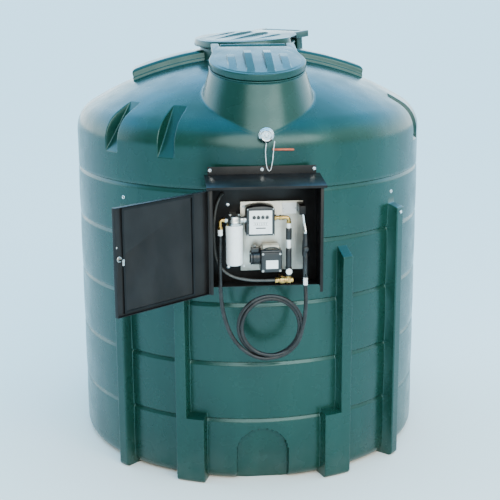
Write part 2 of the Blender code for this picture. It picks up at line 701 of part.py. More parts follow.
def build_door():
    """Pan-shaped door on a hinge rod down its left edge, and the lock through its free edge."""
    front = DOOR_AXIS_Y - DOOR_CLEAR / 2 - DOOR_T
    back = front + DOOR_T
    start, end = DOOR_AXIS_X, DOOR_AXIS_X + DOOR_W
    door = box("cabinet_door", "charcoal_steel", (start, front, DOOR_Z[0]), (end, back, DOOR_Z[1]))
    cut(door, box("pan", "charcoal_steel", (start + SHEET, front + SHEET, DOOR_Z[0] + SHEET),
                  (end - SHEET, back + 0.01, DOOR_Z[1] - SHEET)))
    knuckles = [DOOR_Z[0] + (DOOR_Z[1] - DOOR_Z[0]) * i / KNUCKLES for i in range(KNUCKLES + 1)]
    for low, high in list(zip(knuckles, knuckles[1:]))[::2]:
        weld(door, rod("knuckle", "charcoal_steel", (start, DOOR_AXIS_Y, low),
                       (start, DOOR_AXIS_Y, high), KNUCKLE_R))
    cut(door, rod("rod_hole", "charcoal_steel", (start, DOOR_AXIS_Y, 1.2), (start, DOOR_AXIS_Y, 2.2),
                  HINGE_ROD_R + PIN_CLEARANCE))
    lock_x = start + LOCK_ALONG
    cut(door, rod("lock_hole", "charcoal_steel", (lock_x, front - 0.02, LOCK_Z),
                  (lock_x, back + 0.02, LOCK_Z), 0.008 + PIN_CLEARANCE))

    arm_y = CAB_FRONT_Y + SHEET + 0.0055
    lock = rod("door_lock", "zinc", (lock_x, front - 0.012, LOCK_Z), (lock_x, arm_y + 0.003, LOCK_Z), 0.008)
    weld(lock, rod("head", "zinc", (lock_x, front - 0.012, LOCK_Z), (lock_x, front - GAP, LOCK_Z), 0.014))
    weld(lock, box("arm", "zinc", (lock_x - 0.007, arm_y, LOCK_Z - LOCK_ARM),
                   (lock_x + 0.007, arm_y + 0.003, LOCK_Z + 0.007)))
    for piece in (door, lock):
        place_at(piece, swung(None))

    hinge = rod("door_hinge_rod", "charcoal_steel", (DOOR_AXIS_X, DOOR_AXIS_Y, DOOR_Z[0] - 0.003),
                (DOOR_AXIS_X, DOOR_AXIS_Y, DOOR_Z[1] + 0.003), HINGE_ROD_R)
    leaf_x = CAB_X - CAB_HALF - GAP
    leaf = box("leaf", "charcoal_steel", (leaf_x - 0.0015, DOOR_AXIS_Y + 0.0040, DOOR_Z[0] + 0.001),
               (leaf_x, DOOR_AXIS_Y + 0.020, DOOR_Z[1] - 0.001))
    for low, high in list(zip(knuckles, knuckles[1:]))[1::2]:
        weld(leaf, box("tongue", "charcoal_steel", (DOOR_AXIS_X, DOOR_AXIS_Y + 0.0005, low + 0.002),
                       (leaf_x, DOOR_AXIS_Y + 0.0050, high - 0.002)))
    weld(hinge, leaf)


def build_equipment():
    """Pump, filter, meter and their fittings on a stainless plate."""
    behind = CAB_BACK_Y - SHEET - GAP
    plate = box("equipment_plate", "stainless", (PLATE_X[0], PLATE_Y - 0.003, PLATE_Z[0]),
                (PLATE_X[1], PLATE_Y, PLATE_Z[1]))
    for x in (PLATE_X[0] + 0.02, PLATE_X[1] - 0.02):
        for z in (PLATE_Z[0] + 0.03, PLATE_Z[1] - 0.03):
            weld(plate, rod("standoff", "stainless", (x, PLATE_Y - 0.001, z), (x, behind, z), 0.010, 12))
    face_y = PLATE_Y - 0.003 - GAP

    box("meter_body", "black_casting", (METER_X[0], METER_FRONT_Y, METER_Z[0]), (METER_X[1], face_y, METER_Z[1]))
    box("meter_face", "white_paint", (METER_X[0] + 0.022, METER_FRONT_Y - GAP - 0.003, METER_Z[0] + 0.009),
        (METER_X[1] - 0.018, METER_FRONT_Y - GAP, METER_Z[1] - 0.030))

    head = turned("filter_head", "zinc",
                  [(0.0, FILTER_Z[1] + GAP), (0.049, FILTER_Z[1] + GAP), (0.049, FILTER_HEAD_TOP - 0.012),
                   (0.040, FILTER_HEAD_TOP), (0.0, FILTER_HEAD_TOP)], 24, centre=(FILTER_X, FILTER_Y, 0.0))
    weld(head, box("bracket", "zinc", (FILTER_X - 0.020, FILTER_Y + 0.02, ELBOW_Z - 0.02),
                   (FILTER_X + 0.020, behind, ELBOW_Z + 0.02)))
    weld(head, rod("port", "zinc", (FILTER_X, FILTER_Y, ELBOW_Z), (METER_X[0] - GAP, FILTER_Y, ELBOW_Z), 0.017))
    weld(head, rod("port", "zinc", (FILTER_X, FILTER_Y, ELBOW_Z), (FILTER_X - 0.056, FILTER_Y, ELBOW_Z), 0.017))
    turned("filter_canister", "white_paint",
           [(0.0, FILTER_Z[0]), (FILTER_R - 0.008, FILTER_Z[0]), (FILTER_R, FILTER_Z[0] + 0.008),
            (FILTER_R, FILTER_Z[1]), (0.0, FILTER_Z[1])], 28, centre=(FILTER_X, FILTER_Y, 0.0))
    tube("filter_elbow", "brass",
         [(FILTER_X - 0.056 - GAP, FILTER_Y, ELBOW_Z), (ELBOW_X + 0.014, FILTER_Y, ELBOW_Z),
          (ELBOW_X, FILTER_Y, ELBOW_Z - 0.014), (ELBOW_X, FILTER_Y, 1.745)], FITTING_R, resolution=4)
    turned("hose_ferrule", "zinc",
           [(0.0, FERRULE_BOTTOM), (0.0145, FERRULE_BOTTOM), (0.0145, 1.745 - GAP), (0.0, 1.745 - GAP)],
           20, centre=(ELBOW_X, FILTER_Y, 0.0))

    outlet_y = RISER_Y
    tube("meter_outlet_elbow", "brass",
         [(METER_X[1] + GAP, outlet_y, ELBOW_Z + 0.004), (RISER_X - 0.014, outlet_y, ELBOW_Z + 0.004),
          (RISER_X, outlet_y, ELBOW_Z - 0.010), (RISER_X, outlet_y, 1.770)], FITTING_R, resolution=4)
    riser = [(0.0, RISER_BOTTOM), (RISER_R, RISER_BOTTOM), (RISER_R, 1.490), (0.018, 1.492), (0.018, 1.612),
             (RISER_R, 1.614), (RISER_R, 1.664), (0.016, 1.666), (0.016, 1.740), (RISER_R, 1.742),
             (RISER_R, 1.770 - GAP), (0.0, 1.770 - GAP)]
    turned("outlet_riser", "black_casting", riser, 20, centre=(RISER_X, RISER_Y, 0.0))
    manifold = rod("manifold", "brass", (0.052, RISER_Y, 1.410), (0.170, RISER_Y, 1.410), 0.024)
    weld(manifold, rod("port", "brass", (RISER_X, RISER_Y, 1.410), (RISER_X, RISER_Y, RISER_BOTTOM - GAP), 0.015))
    weld(manifold, box("bracket", "brass", (0.085, RISER_Y, 1.398), (0.110, behind, 1.420)))
    turned("valve_knob", "white_paint",
           [(0.0, 0.0), (0.020, 0.0), (0.020, 0.012), (0.014, 0.018), (0.0, 0.018)], 20,
           centre=(RISER_X, RISER_Y - RISER_R - GAP, 1.468), axis="Y")

    box("pump_body", "black_casting", (PUMP_X[0], PUMP_FRONT_Y, PUMP_Z[0]), (PUMP_X[1], face_y, PUMP_Z[1]))
    rod("pump_motor", "black_casting", (PUMP_X[0] - 0.064, -1.335, 1.556), (PUMP_X[0] - GAP, -1.335, 1.556),
        MOTOR_R, 24)

    suction = [(-0.262, behind - 0.010, 1.940), (-0.264, -1.245, 1.940), (-0.277, -1.262, 1.928),
               (-0.298, -1.272, 1.880), (-0.311, -1.280, 1.823), (-0.318, -1.290, 1.740),
               (-0.318, -1.300, 1.640), (-0.308, -1.310, 1.550), (-0.268, -1.318, 1.475),
               (-0.200, -1.330, 1.432), (-0.100, -1.342, 1.412), (0.000, -1.350, 1.410),
               (0.038, RISER_Y, 1.410)]
    end = Vector((0.052 - GAP, RISER_Y, 1.410))
    tube("suction_hose", "hose_rubber", smooth_route(suction, 0.022) + [end], SUCTION_R)
    box("plate_label", "white_paint", (0.106, face_y - 0.0012, 1.811), (0.194, face_y, 1.881))


def build_nozzle():
    """Delivery nozzle hung spout-up in its holder."""
    face_y = PLATE_Y - 0.003 - GAP
    holder = box("nozzle_holder", "zinc", (SPOUT_TOP_X - 0.020, NOZZLE_Y - 0.018, HOLDER_Z[0]),
                 (SPOUT_TOP_X + 0.018, face_y, HOLDER_Z[1]))
    lean = (NOZZLE_X - SPOUT_TOP_X) / (NOZZLE_Z[1] - SPOUT_TOP_Z)
    mouth = (SPOUT_TOP_X - lean * 0.05, NOZZLE_Y, SPOUT_TOP_Z - 0.05)
    top = (SPOUT_TOP_X + lean * 0.001, NOZZLE_Y, SPOUT_TOP_Z + 0.001)
    cut(holder, rod("socket", "zinc", mouth, top, SPOUT_R + GAP, 16))
    foot = (NOZZLE_X, NOZZLE_Y, NOZZLE_Z[1] + 0.0018)
    rod("nozzle_spout", "zinc", foot, (SPOUT_TOP_X, NOZZLE_Y, SPOUT_TOP_Z),
        SPOUT_R, 16)
    body = [(NOZZLE_Y - 0.020, NOZZLE_Z[0]), (NOZZLE_Y - 0.022, 1.50), (NOZZLE_Y - 0.048, 1.56),
            (NOZZLE_Y - 0.050, 1.66), (NOZZLE_Y - 0.018, NOZZLE_Z[1]), (NOZZLE_Y + 0.018, NOZZLE_Z[1]),
            (NOZZLE_Y + 0.024, 1.62), (NOZZLE_Y + 0.020, NOZZLE_Z[0])]
    prism("nozzle_body", "black_casting", body, NOZZLE_X - 0.022, NOZZLE_X + 0.022, axis="X")
    turned("nozzle_ferrule", "zinc",
           [(0.0, 1.385), (0.0145, 1.385), (0.0145, NOZZLE_Z[0] - GAP), (0.0, NOZZLE_Z[0] - GAP)], 20,
           centre=(NOZZLE_X, NOZZLE_Y, 0.0))


def build_hose():
    """Delivery hose: two free stretches and the ring that its hanging coil fills."""
    near, far = COIL_MEAN_R - COIL_BAND / 2, COIL_MEAN_R + COIL_BAND / 2
    half = COIL_DEPTH / 2
    turned("hose_coil", "hose_rubber",
           [(near, -half), (far, -half), (far, half), (near, half)], 40,
           centre=(COIL_X, COIL_Y, COIL_Z), axis="Y")
    drop = [(ELBOW_X, FILTER_Y, FERRULE_BOTTOM - 0.015), (ELBOW_X, FILTER_Y - 0.004, 1.660),
            (-0.290, -1.382, 1.560), (-0.290, -1.392, 1.460), (-0.287, -1.396, 1.360),
            (-0.279, -1.396, 1.260), (-0.259, -1.396, 1.160), (-0.228, -1.396, 1.075), (-0.190, -1.396, 1.010)]
    start = Vector((ELBOW_X, FILTER_Y, FERRULE_BOTTOM - GAP))
    tube("hose_drop", "hose_rubber", [start] + smooth_route(drop, 0.030), HOSE_R)
    rise = [(0.228, -1.396, 1.160), (0.233, -1.395, 1.200), (0.238, -1.392, 1.260), (0.239, -1.388, 1.320),
            (NOZZLE_X, NOZZLE_Y, 1.370)]
    end = Vector((NOZZLE_X, NOZZLE_Y, 1.385 - GAP))
    tube("hose_rise", "hose_rubber", smooth_route(rise, 0.030) + [end], HOSE_R)


def build_marker():
    """Thin orange strip on the shoulder beside the filling point."""
    strip = prism("marker_strip", "orange_plastic", [(0.052, 2.199), (0.186, 2.197), (0.186, 2.207), (0.052, 2.211)],
                  -1.2125, -1.180, axis="Y")
    cut(strip, roof_block(-GAP))


def clear_scene():
    for old in list(bpy.data.objects):
        bpy.data.objects.remove(old)


def main():
    clear_scene()
    build_wall()
    build_roof()
    build_lids()
    build_legs()
    build_fill_point()
    build_cabinet()
    build_door()
    build_equipment()
    build_nozzle()
    build_hose()
    build_marker()


main()
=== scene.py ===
"""Dressed model of a round plastic fuel tank with an open dispensing cabinet on its front.

Metres, +Z up, the tank's axis on Z and its front facing -Y. Azimuths are in degrees from the
front, positive toward +X.
"""
import json
import math

import bpy
import numpy as np
from mathutils import Matrix, Vector


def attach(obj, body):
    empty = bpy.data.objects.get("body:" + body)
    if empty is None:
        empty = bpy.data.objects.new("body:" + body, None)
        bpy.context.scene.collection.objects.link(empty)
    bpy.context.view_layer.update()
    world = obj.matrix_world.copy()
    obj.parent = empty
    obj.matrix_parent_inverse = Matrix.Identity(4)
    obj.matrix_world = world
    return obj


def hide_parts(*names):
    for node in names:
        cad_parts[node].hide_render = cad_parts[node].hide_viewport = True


bl_info = {
    "name": "Round fuel tank",
    "version": (1, 0, 0),
    "blender": (4, 5, 0),
    "location": "3D View > Sidebar > Fuel tank",
    "description": "Builds the mouldings, dispensing equipment and finishes of a round fuel tank",
    "category": "Object",
}

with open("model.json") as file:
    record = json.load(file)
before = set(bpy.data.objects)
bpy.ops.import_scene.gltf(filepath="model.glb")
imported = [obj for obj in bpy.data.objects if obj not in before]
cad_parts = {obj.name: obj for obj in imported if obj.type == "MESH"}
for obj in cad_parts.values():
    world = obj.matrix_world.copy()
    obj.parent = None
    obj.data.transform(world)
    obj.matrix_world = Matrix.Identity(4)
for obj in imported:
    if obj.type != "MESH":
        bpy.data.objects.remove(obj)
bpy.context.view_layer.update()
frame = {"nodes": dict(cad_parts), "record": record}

# Moulded body
WALL_R = 1.205
WALL_INNER_R = 1.185
FOOT_R = 0.075
RIB_Z = (0.429, 0.818, 1.216, 1.615)
SEAM_Z = 1.948
RIB_DEPTH = 0.010
BAND_BULGE = 0.0035
SHOULDER_R = 0.211
SHOULDER_Z = 2.201
DOME_R = 2.145
DOME_CENTRE_Z = 0.542
DOME_EDGE_R = 1.1024
ROOF_T = 0.015
SLOT_AZ = (-52.0, -30.0, 68.0, 90.0, 188.0, 210.0)
SLOT_HALF = 2.85
SLOT_FOOT = (1.205, 2.137)
SLOT_HEAD_R = 0.997
SLOT_MEAN_R = 1.15
SLOT_COVE = 0.009
SLOT_EDGE = 0.010

# Legs: how far they stand out, azimuth of the middle, half-width, heights of the front edge and head
LEG_OUT = 0.080
INNER_LEG_AZ = 25.1
OUTER_LEG_AZ = 46.7
LEG_HALF = 0.037
FOOT_REACH = 0.152
FOOT_TOP = 0.447
FOOT_HEAD = (FOOT_TOP, FOOT_TOP + 0.016)
INNER_LEG_TOP = (1.495, 1.560)
OUTER_LEG_TOP = (1.752, 1.776)
LEG_MEAN_R = 1.245
FOOT_TUCK = 0.016
FOOT_FADE = 0.022

# Arched recess
ARCH_X = -0.014
ARCH_HALF = 0.172
ARCH_TOP = 0.360
ARCH_DEPTH = 0.062
ARCH_SKIN = 0.012
ARCH_COVE = 0.006
ARCH_EDGE = 0.010

# Necks and lids
TURRET_R = 0.330
TURRET_CENTRE = (0.0, 0.0, 0.0)
HATCH_CENTRE = (0.0, -0.80, 0.0)
HATCH_NECK_R = 0.394
NECK_T = 0.018
LID_T = 0.044
LID_GAP = 0.003

# Lids: radius, middle of the top, tilt, azimuth of the hinge, and each rib's place and height
TURRET_LID = (0.375, (0.0, 0.0, 2.822), 3.4, 135.0)
TURRET_RIBS = ((-0.205, 0.007), (-0.072, 0.014), (0.072, 0.014), (0.205, 0.007))
HATCH_LID = (0.310, (0.0, -0.80, 2.719), 12.4, 180.0)
HATCH_RIBS = ((-0.170, 0.013), (-0.0625, 0.037), (0.0625, 0.037), (0.170, 0.013))
LID_BACK = 0.97             # straight back edge, as a share of the radius
LID_AXIS = 0.050            # hinge axis behind that edge

# Door's hinge axis in plan and its opening in degrees
DOOR_AXIS = (-0.3625, -1.518)
DOOR_OPEN = 141.0


def deselect():
    """Leave object mode with nothing selected."""
    if bpy.context.object and bpy.context.object.mode != "OBJECT":
        bpy.ops.object.mode_set(mode="OBJECT")
    bpy.ops.object.select_all(action="DESELECT")


def only(piece):
    """Select one object alone and make it the active one."""
    deselect()
    piece.select_set(True)
    bpy.context.view_layer.objects.active = piece
    return piece


def adopt(name, finish, angle=None, body="tank", replaces=()):
    """Finish the active object: its name, material, place at the origin, body, slot and shading."""
    piece = only(bpy.context.object)
    piece.name = name
    piece.data.name = name
    bpy.ops.object.transform_apply(location=True, rotation=True, scale=True)
    piece.data.materials.clear()
    piece.data.materials.append(FINISH[finish])
    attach(piece, body)
    if replaces:
        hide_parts(*replaces)
    if angle:
        smooth(piece, angle)
    return piece


def edit_all(piece, *steps):
    """Run mesh operators with their settings on all of an object, in edit mode."""
    only(piece)
    bpy.ops.object.mode_set(mode="EDIT")
    bpy.ops.mesh.select_all(action="SELECT")
    for step, settings in steps:
        step(**settings)
    bpy.ops.object.mode_set(mode="OBJECT")
    return piece


def outward(piece, doubles=0.00002):
    """Merge coincident points and turn every face outward."""
    return edit_all(piece, (bpy.ops.mesh.remove_doubles, dict(threshold=doubles)),
                    (bpy.ops.mesh.normals_make_consistent, dict(inside=False)))


def smooth(piece, angle=35.0):
    """Shade smooth but for edges sharper than an angle."""
    only(piece)
    bpy.ops.object.shade_smooth_by_angle(angle=math.radians(angle))
    return piece


def apply_modifier(piece, kind, **settings):
    """Add a modifier, set it and apply it."""
    only(piece)
    modifier = piece.modifiers.new(kind.title(), kind)
    for key, value in settings.items():
        setattr(modifier, key, value)
    bpy.ops.object.modifier_apply(modifier=modifier.name)
    return piece


def bevelled(piece, width, segments=2, angle=40.0):
    """Round every edge sharper than an angle."""
    return apply_modifier(piece, "BEVEL", width=width, segments=segments, limit_method="ANGLE",
                          angle_limit=math.radians(angle), harden_normals=False)


def boolean(piece, other, operation):
    """Apply an exact Boolean and remove the other object."""
    apply_modifier(piece, "BOOLEAN", operation=operation, solver="EXACT", object=other)
    bpy.data.objects.remove(other)
    return piece


def join(pieces):
    """Join objects into the first one."""
    deselect()
    for piece in pieces:
        piece.select_set(True)
    bpy.context.view_layer.objects.active = pieces[0]
    bpy.ops.object.join()
    return pieces[0]


def placed(data):
    """A new object in the scene that holds a mesh or a curve."""
    piece = bpy.data.objects.new(data.name, data)
    bpy.context.collection.objects.link(piece)
    return piece


def block(centre, size):
    """A cube primitive with its size applied."""
    deselect()
    bpy.ops.mesh.primitive_cube_add(size=1.0, location=centre)
    piece = bpy.context.object
    piece.scale = size
    bpy.ops.object.transform_apply(location=True, rotation=True, scale=True)
    return piece


def bar(start, end, radius, sides=24):
    """A cylinder primitive between two points."""
    start, end = Vector(start), Vector(end)
    along = end - start
    deselect()
    bpy.ops.mesh.primitive_cylinder_add(vertices=sides, radius=radius, depth=along.length,
                                        location=(start + end) / 2,
                                        rotation=along.to_track_quat("Z", "Y").to_euler())
    piece = bpy.context.object
    bpy.ops.object.transform_apply(location=True, rotation=True, scale=True)
    return piece


def turned(profile, start, axis=(0, 0, 1), steps=32):
    """Spin a line of (radius, distance along the axis) points about an axis through a point."""
    start, axis = Vector(start), Vector(axis).normalized()
    side = axis.orthogonal().normalized()
    data = bpy.data.meshes.new("profile")
    points = [start + side * r + axis * h for r, h in profile]
    data.from_pydata(points, [(i, i + 1) for i in range(len(points) - 1)], [])
    piece = placed(data)
    edit_all(piece, (bpy.ops.mesh.spin, dict(steps=steps, angle=2 * math.pi, center=start, axis=axis,
                                             use_auto_merge=True)))
    return outward(piece)


def lathed(profile, start, axis=(0, 0, 1), steps=32):
    """A solid turned part: its profile is closed to the axis at both ends."""
    return turned([(0.0, profile[0][1]), *profile, (0.0, profile[-1][1])], start, axis, steps)


def fluted(piece, start, end, reach, count, radius, sides=16, phase=0.5):
    """Cut round grooves into a piece, evenly about a line along Z or Y."""
    for k in range(count):
        a = 2 * math.pi * (k + phase) / count
        u, v = reach * math.cos(a), reach * math.sin(a)
        shift = (u, 0.0, v) if start[2] == end[2] else (u, v, 0.0)
        groove = [[p + s for p, s in zip(point, shift)] for point in (start, end)]
        boolean(piece, bar(*groove, radius, sides), "DIFFERENCE")
    return piece


def arc(x, y, radius, start, sweep, steps):
    """Points along an arc in plan, from an angle through a sweep in degrees."""
    angles = [math.radians(start + sweep * k / steps) for k in range(steps + 1)]
    return [(x + radius * math.cos(a), y + radius * math.sin(a)) for a in angles]


def extruded(outline, low, high, axis="Z"):
    """A flat outline, filled and extruded along an axis."""
    def place(point, level):
        u, v = point
        return {"X": (level, u, v), "Y": (u, level, v), "Z": (u, v, level)}[axis]
    data = bpy.data.meshes.new("outline")
    data.from_pydata([place(p, low) for p in outline], [], [list(range(len(outline)))])
    piece = placed(data)
    move = {"value": place((0, 0), high - low)}
    edit_all(piece, (bpy.ops.mesh.extrude_region_move, dict(TRANSFORM_OT_translate=move)))
    return outward(piece)


def grid_surface(points):
    """A grid primitive whose points are moved to an array of rows and columns of places."""
    rows, cols = points.shape[:2]
    deselect()
    bpy.ops.mesh.primitive_grid_add(x_subdivisions=cols - 1, y_subdivisions=rows - 1, size=1.0)
    piece = bpy.context.object
    piece.data.vertices.foreach_set("co", points.reshape(-1).astype(np.float32))
    piece.data.update()
    return outward(piece)


def swept(points, radius, sides=16):
    """A round tube along a line of points."""
    data = bpy.data.curves.new("sweep", "CURVE")
    data.dimensions = "3D"
    data.bevel_depth = radius
    data.bevel_resolution = max(1, sides // 4 - 1)
    data.use_fill_caps = True
    spline = data.splines.new("POLY")
    spline.points.add(len(points) - 1)
    for knot, place in zip(spline.points, points):
        knot.co = (*place, 1.0)
    return placed(data)


def as_mesh(piece):
    """Turn a curve object into a mesh."""
    only(piece)
    bpy.ops.object.convert(target="MESH")
    return outward(bpy.context.object)


def curve_through(stations, spacing):
    """Evenly spaced points along a smooth curve through some stations."""
    places = [Vector(p) for p in stations]
    ends = [places[0] * 2 - places[1]] + places + [places[-1] * 2 - places[-2]]
    dense = []
    for i in range(1, len(ends) - 2):
        a, b, c, d = ends[i - 1:i + 3]
        for k in range(24):
            t = k / 24.0
            dense.append(0.5 * ((2 * b) + (c - a) * t + (2 * a - 5 * b + 4 * c - d) * t * t
                                + (3 * b - a - 3 * c + d) * t ** 3))
    dense.append(places[-1])
    lengths = np.cumsum([0.0] + [(q - p).length for p, q in zip(dense, dense[1:])])
    steps = max(2, round(lengths[-1] / spacing))
    wanted = np.linspace(0.0, lengths[-1], steps + 1)
    table = np.array([tuple(p) for p in dense])
    route = np.stack([np.interp(wanted, lengths, table[:, k]) for k in range(3)], axis=1)
    return [Vector(p) for p in route]


# Materials

def new_material(name, colour, roughness, metallic=0.0, coat=0.0, specular=0.5):
    """A material with its shader's plain values set, and its node tree."""
    finish = bpy.data.materials.new(name)
    finish.use_nodes = True
    shader = finish.node_tree.nodes["Principled BSDF"]
    shader.inputs["Base Color"].default_value = (*colour, 1.0)
    shader.inputs["Roughness"].default_value = roughness
    shader.inputs["Metallic"].default_value = metallic
    shader.inputs["Coat Weight"].default_value = coat
    shader.inputs["Specular IOR Level"].default_value = specular
    return finish, finish.node_tree, shader


def noise_on(tree, scale, detail=3.0, stretch=(1.0, 1.0, 1.0), roughness=0.5):
    """Noise on Object coordinates, stretched along an axis."""
    coords = tree.nodes.new("ShaderNodeTexCoord")
    mapping = tree.nodes.new("ShaderNodeMapping")
    mapping.inputs["Scale"].default_value = stretch
    noise = tree.nodes.new("ShaderNodeTexNoise")
    noise.inputs["Scale"].default_value = scale
    noise.inputs["Detail"].default_value = detail
    noise.inputs["Roughness"].default_value = roughness
    tree.links.new(coords.outputs["Object"], mapping.inputs["Vector"])
    tree.links.new(mapping.outputs["Vector"], noise.inputs["Vector"])
    return noise.outputs["Fac"]


def ramp_on(tree, value, low, high, first, last):
    """Map a value between two stops onto two colours."""
    ramp = tree.nodes.new("ShaderNodeValToRGB")
    ramp.color_ramp.elements[0].position = low
    ramp.color_ramp.elements[1].position = high
    ramp.color_ramp.elements[0].color = (*first, 1.0)
    ramp.color_ramp.elements[1].color = (*last, 1.0)
    tree.links.new(value, ramp.inputs["Fac"])
    return ramp.outputs["Color"]


def range_on(tree, value, low, high, first, last):
    """Map a value between two stops onto two numbers."""
    node = tree.nodes.new("ShaderNodeMapRange")
    node.inputs["From Min"].default_value = low
    node.inputs["From Max"].default_value = high
    node.inputs["To Min"].default_value = first
    node.inputs["To Max"].default_value = last
    tree.links.new(value, node.inputs["Value"])
    return node.outputs["Result"]


def mix_on(tree, factor, first, second, mode="MIX"):
    """Mix two colours by a factor."""
    node = tree.nodes.new("ShaderNodeMix")
    node.data_type = "RGBA"
    node.blend_type = mode
    for value, socket in ((factor, node.inputs[0]), (first, node.inputs[6]),
                          (second, node.inputs[7])):
        if isinstance(value, (int, float)):
            socket.default_value = value
        elif isinstance(value, tuple):
            socket.default_value = (*value, 1.0)
        else:
            tree.links.new(value, socket)
    return node.outputs[2]


def bump_on(tree, height, strength, distance, under=None):
    """Bump from a height, laid over another bump where there is one."""
    node = tree.nodes.new("ShaderNodeBump")
    node.inputs["Strength"].default_value = strength
    node.inputs["Distance"].default_value = distance
    tree.links.new(height, node.inputs["Height"])
    if under:
        tree.links.new(under, node.inputs["Normal"])
    return node.outputs["Normal"]


def surface(tree, shader, tint, gloss, normal):
    """Link a finish's colour, roughness and bump to its shader."""
    for value, socket in ((tint, "Base Color"), (gloss, "Roughness"), (normal, "Normal")):
        tree.links.new(value, shader.inputs[socket])


def height_of(tree):
    """World height on Object coordinates."""
    coords = tree.nodes.new("ShaderNodeTexCoord")
    split = tree.nodes.new("ShaderNodeSeparateXYZ")
    tree.links.new(coords.outputs["Object"], split.inputs[0])
    return split.outputs["Z"]


def moulded_green(name, colour):
    """Rotationally moulded polyethylene: mottled, faintly wavy, scuffed, dusty near the ground."""
    finish, tree, shader = new_material(name, colour, 0.36, specular=0.5)
    # Painted reflection colour: the cyan specular tint turns every sheen on the moulding sky-blue, a
    # colour that belongs to the sky and not to the plastic
    shader.inputs["Specular Tint"].default_value = (0.62, 0.93, 0.96, 1.0)
    light = tuple(min(1.0, c * 1.18 + 0.0012) for c in colour)
    dark = tuple(c * 0.84 for c in colour)
    tint = ramp_on(tree, noise_on(tree, 2.2, 5.0, (1.0, 1.0, 0.45)), 0.36, 0.64, dark, light)
    streaks = range_on(tree, noise_on(tree, 5.0, 4.0, (1.0, 1.0, 0.10)), 0.52, 0.74, 0.0, 0.16)
    tint = mix_on(tree, streaks, tint, (0.020, 0.078, 0.068))
    scuff = range_on(tree, noise_on(tree, 34.0, 6.0, (1.0, 1.0, 0.7), 0.62), 0.63, 0.76, 0.0, 0.22)
    tint = mix_on(tree, scuff, tint, (0.026, 0.086, 0.076))
    low = range_on(tree, height_of(tree), 0.02, 0.30, 0.34, 0.0)
    patchy = range_on(tree, noise_on(tree, 9.0, 6.0), 0.38, 0.66, 0.2, 1.0)
    dust = tree.nodes.new("ShaderNodeMath")
    dust.operation = "MULTIPLY"
    tree.links.new(low, dust.inputs[0])
    tree.links.new(patchy, dust.inputs[1])
    tint = mix_on(tree, dust.outputs[0], tint, (0.050, 0.066, 0.054))
    gloss = range_on(tree, noise_on(tree, 6.5, 5.0), 0.3, 0.7, 0.20, 0.34)
    waves = bump_on(tree, noise_on(tree, 3.2, 2.0, (1.0, 1.0, 0.8)), 0.35, 0.012)
    grain = bump_on(tree, noise_on(tree, 420.0, 2.0), 0.10, 0.0006, waves)
    surface(tree, shader, tint, gloss, grain)
    return finish


def coated_steel(name, colour):
    """Smooth dark powder coat with a light orange peel, dust and rubbed patches."""
    finish, tree, shader = new_material(name, colour, 0.36, specular=0.18)
    worn = tuple(min(1.0, c * 1.6 + 0.003) for c in colour)
    tint = ramp_on(tree, noise_on(tree, 7.0, 6.0, (1.0, 1.0, 0.6)), 0.38, 0.72, colour, worn)
    gloss = range_on(tree, noise_on(tree, 14.0, 4.0), 0.3, 0.7, 0.30, 0.44)
    peel = bump_on(tree, noise_on(tree, 260.0, 2.0), 0.10, 0.0006)
    surface(tree, shader, tint, gloss, peel)
    return finish


def brushed_metal(name, colour, roughness, stretch):
    """Metal sheet with fine lines one way and faint stains."""
    finish, tree, shader = new_material(name, colour, roughness, metallic=1.0)
    stained = tuple(c * 0.72 for c in colour)
    tint = ramp_on(tree, noise_on(tree, 9.0, 6.0), 0.35, 0.65, stained, colour)
    lines = noise_on(tree, 240.0, 2.0, stretch)
    gloss = range_on(tree, lines, 0.3, 0.7, roughness * 0.75, roughness * 1.25)
    surface(tree, shader, tint, gloss, bump_on(tree, lines, 0.12, 0.0004))
    return finish


def cast_metal(name, colour, metallic, roughness, coat=0.0, grime=0.6):
    """Painted or bare casting with a fine sandy surface and grime."""
    finish, tree, shader = new_material(name, colour, roughness, metallic=metallic, coat=coat)
    grimy = tuple(c * grime for c in colour)
    tint = ramp_on(tree, noise_on(tree, 30.0, 5.0), 0.36, 0.62, grimy, colour)
    gloss = range_on(tree, noise_on(tree, 45.0, 3.0), 0.3, 0.7, roughness * 0.8, roughness * 1.25)
    surface(tree, shader, tint, gloss, bump_on(tree, noise_on(tree, 600.0, 2.0), 0.18, 0.0004))
    return finish


def rubber(name, colour):
    """Hose cover: black with a fine cloth-wrapped texture, a soft gloss and dust."""
    finish, tree, shader = new_material(name, colour, 0.32, specular=0.36)
    dusty = tuple(min(1.0, c * 2.4 + 0.006) for c in colour)
    tint = ramp_on(tree, noise_on(tree, 22.0, 5.0), 0.45, 0.8, colour, dusty)
    gloss = range_on(tree, noise_on(tree, 60.0, 3.0), 0.3, 0.7, 0.25, 0.36)
    surface(tree, shader, tint, gloss, bump_on(tree, noise_on(tree, 900.0, 2.0), 0.06, 0.0004))
    return finish


class TankSettings(bpy.types.PropertyGroup):
    """Sizes of the moulded body that a user may change."""

    fillet: bpy.props.FloatProperty(name="Fillet", description="Radius where a leg meets the wall",
                                    default=0.009, unit="LENGTH")
    edge: bpy.props.FloatProperty(name="Edge", description="Radius of a leg's outer edges",
                                  default=0.008, unit="LENGTH")
    neck_fillet: bpy.props.FloatProperty(name="Neck fillet",
                                         description="Radius where a neck meets the roof",
                                         default=0.015, unit="LENGTH")
    hose_radius: bpy.props.FloatProperty(name="Hose radius",
                                         description="Outside radius of the delivery hose",
                                         default=0.0125, unit="LENGTH")


class TankFinishes(bpy.types.PropertyGroup):
    """Colours that a user may change."""

    green: bpy.props.FloatVectorProperty(name="Moulded green",
                                         description="Colour of the polyethylene",
                                         default=(0.0018, 0.0245, 0.0160), subtype="COLOR", size=3)
    charcoal: bpy.props.FloatVectorProperty(name="Cabinet",
                                            description="Colour of the cabinet's powder coat",
                                            default=(0.0058, 0.0048, 0.0046), subtype="COLOR", size=3)
    enamel: bpy.props.FloatVectorProperty(name="Castings", description="Colour of the pump and meter",
                                          default=(0.0065, 0.0065, 0.0075), subtype="COLOR", size=3)


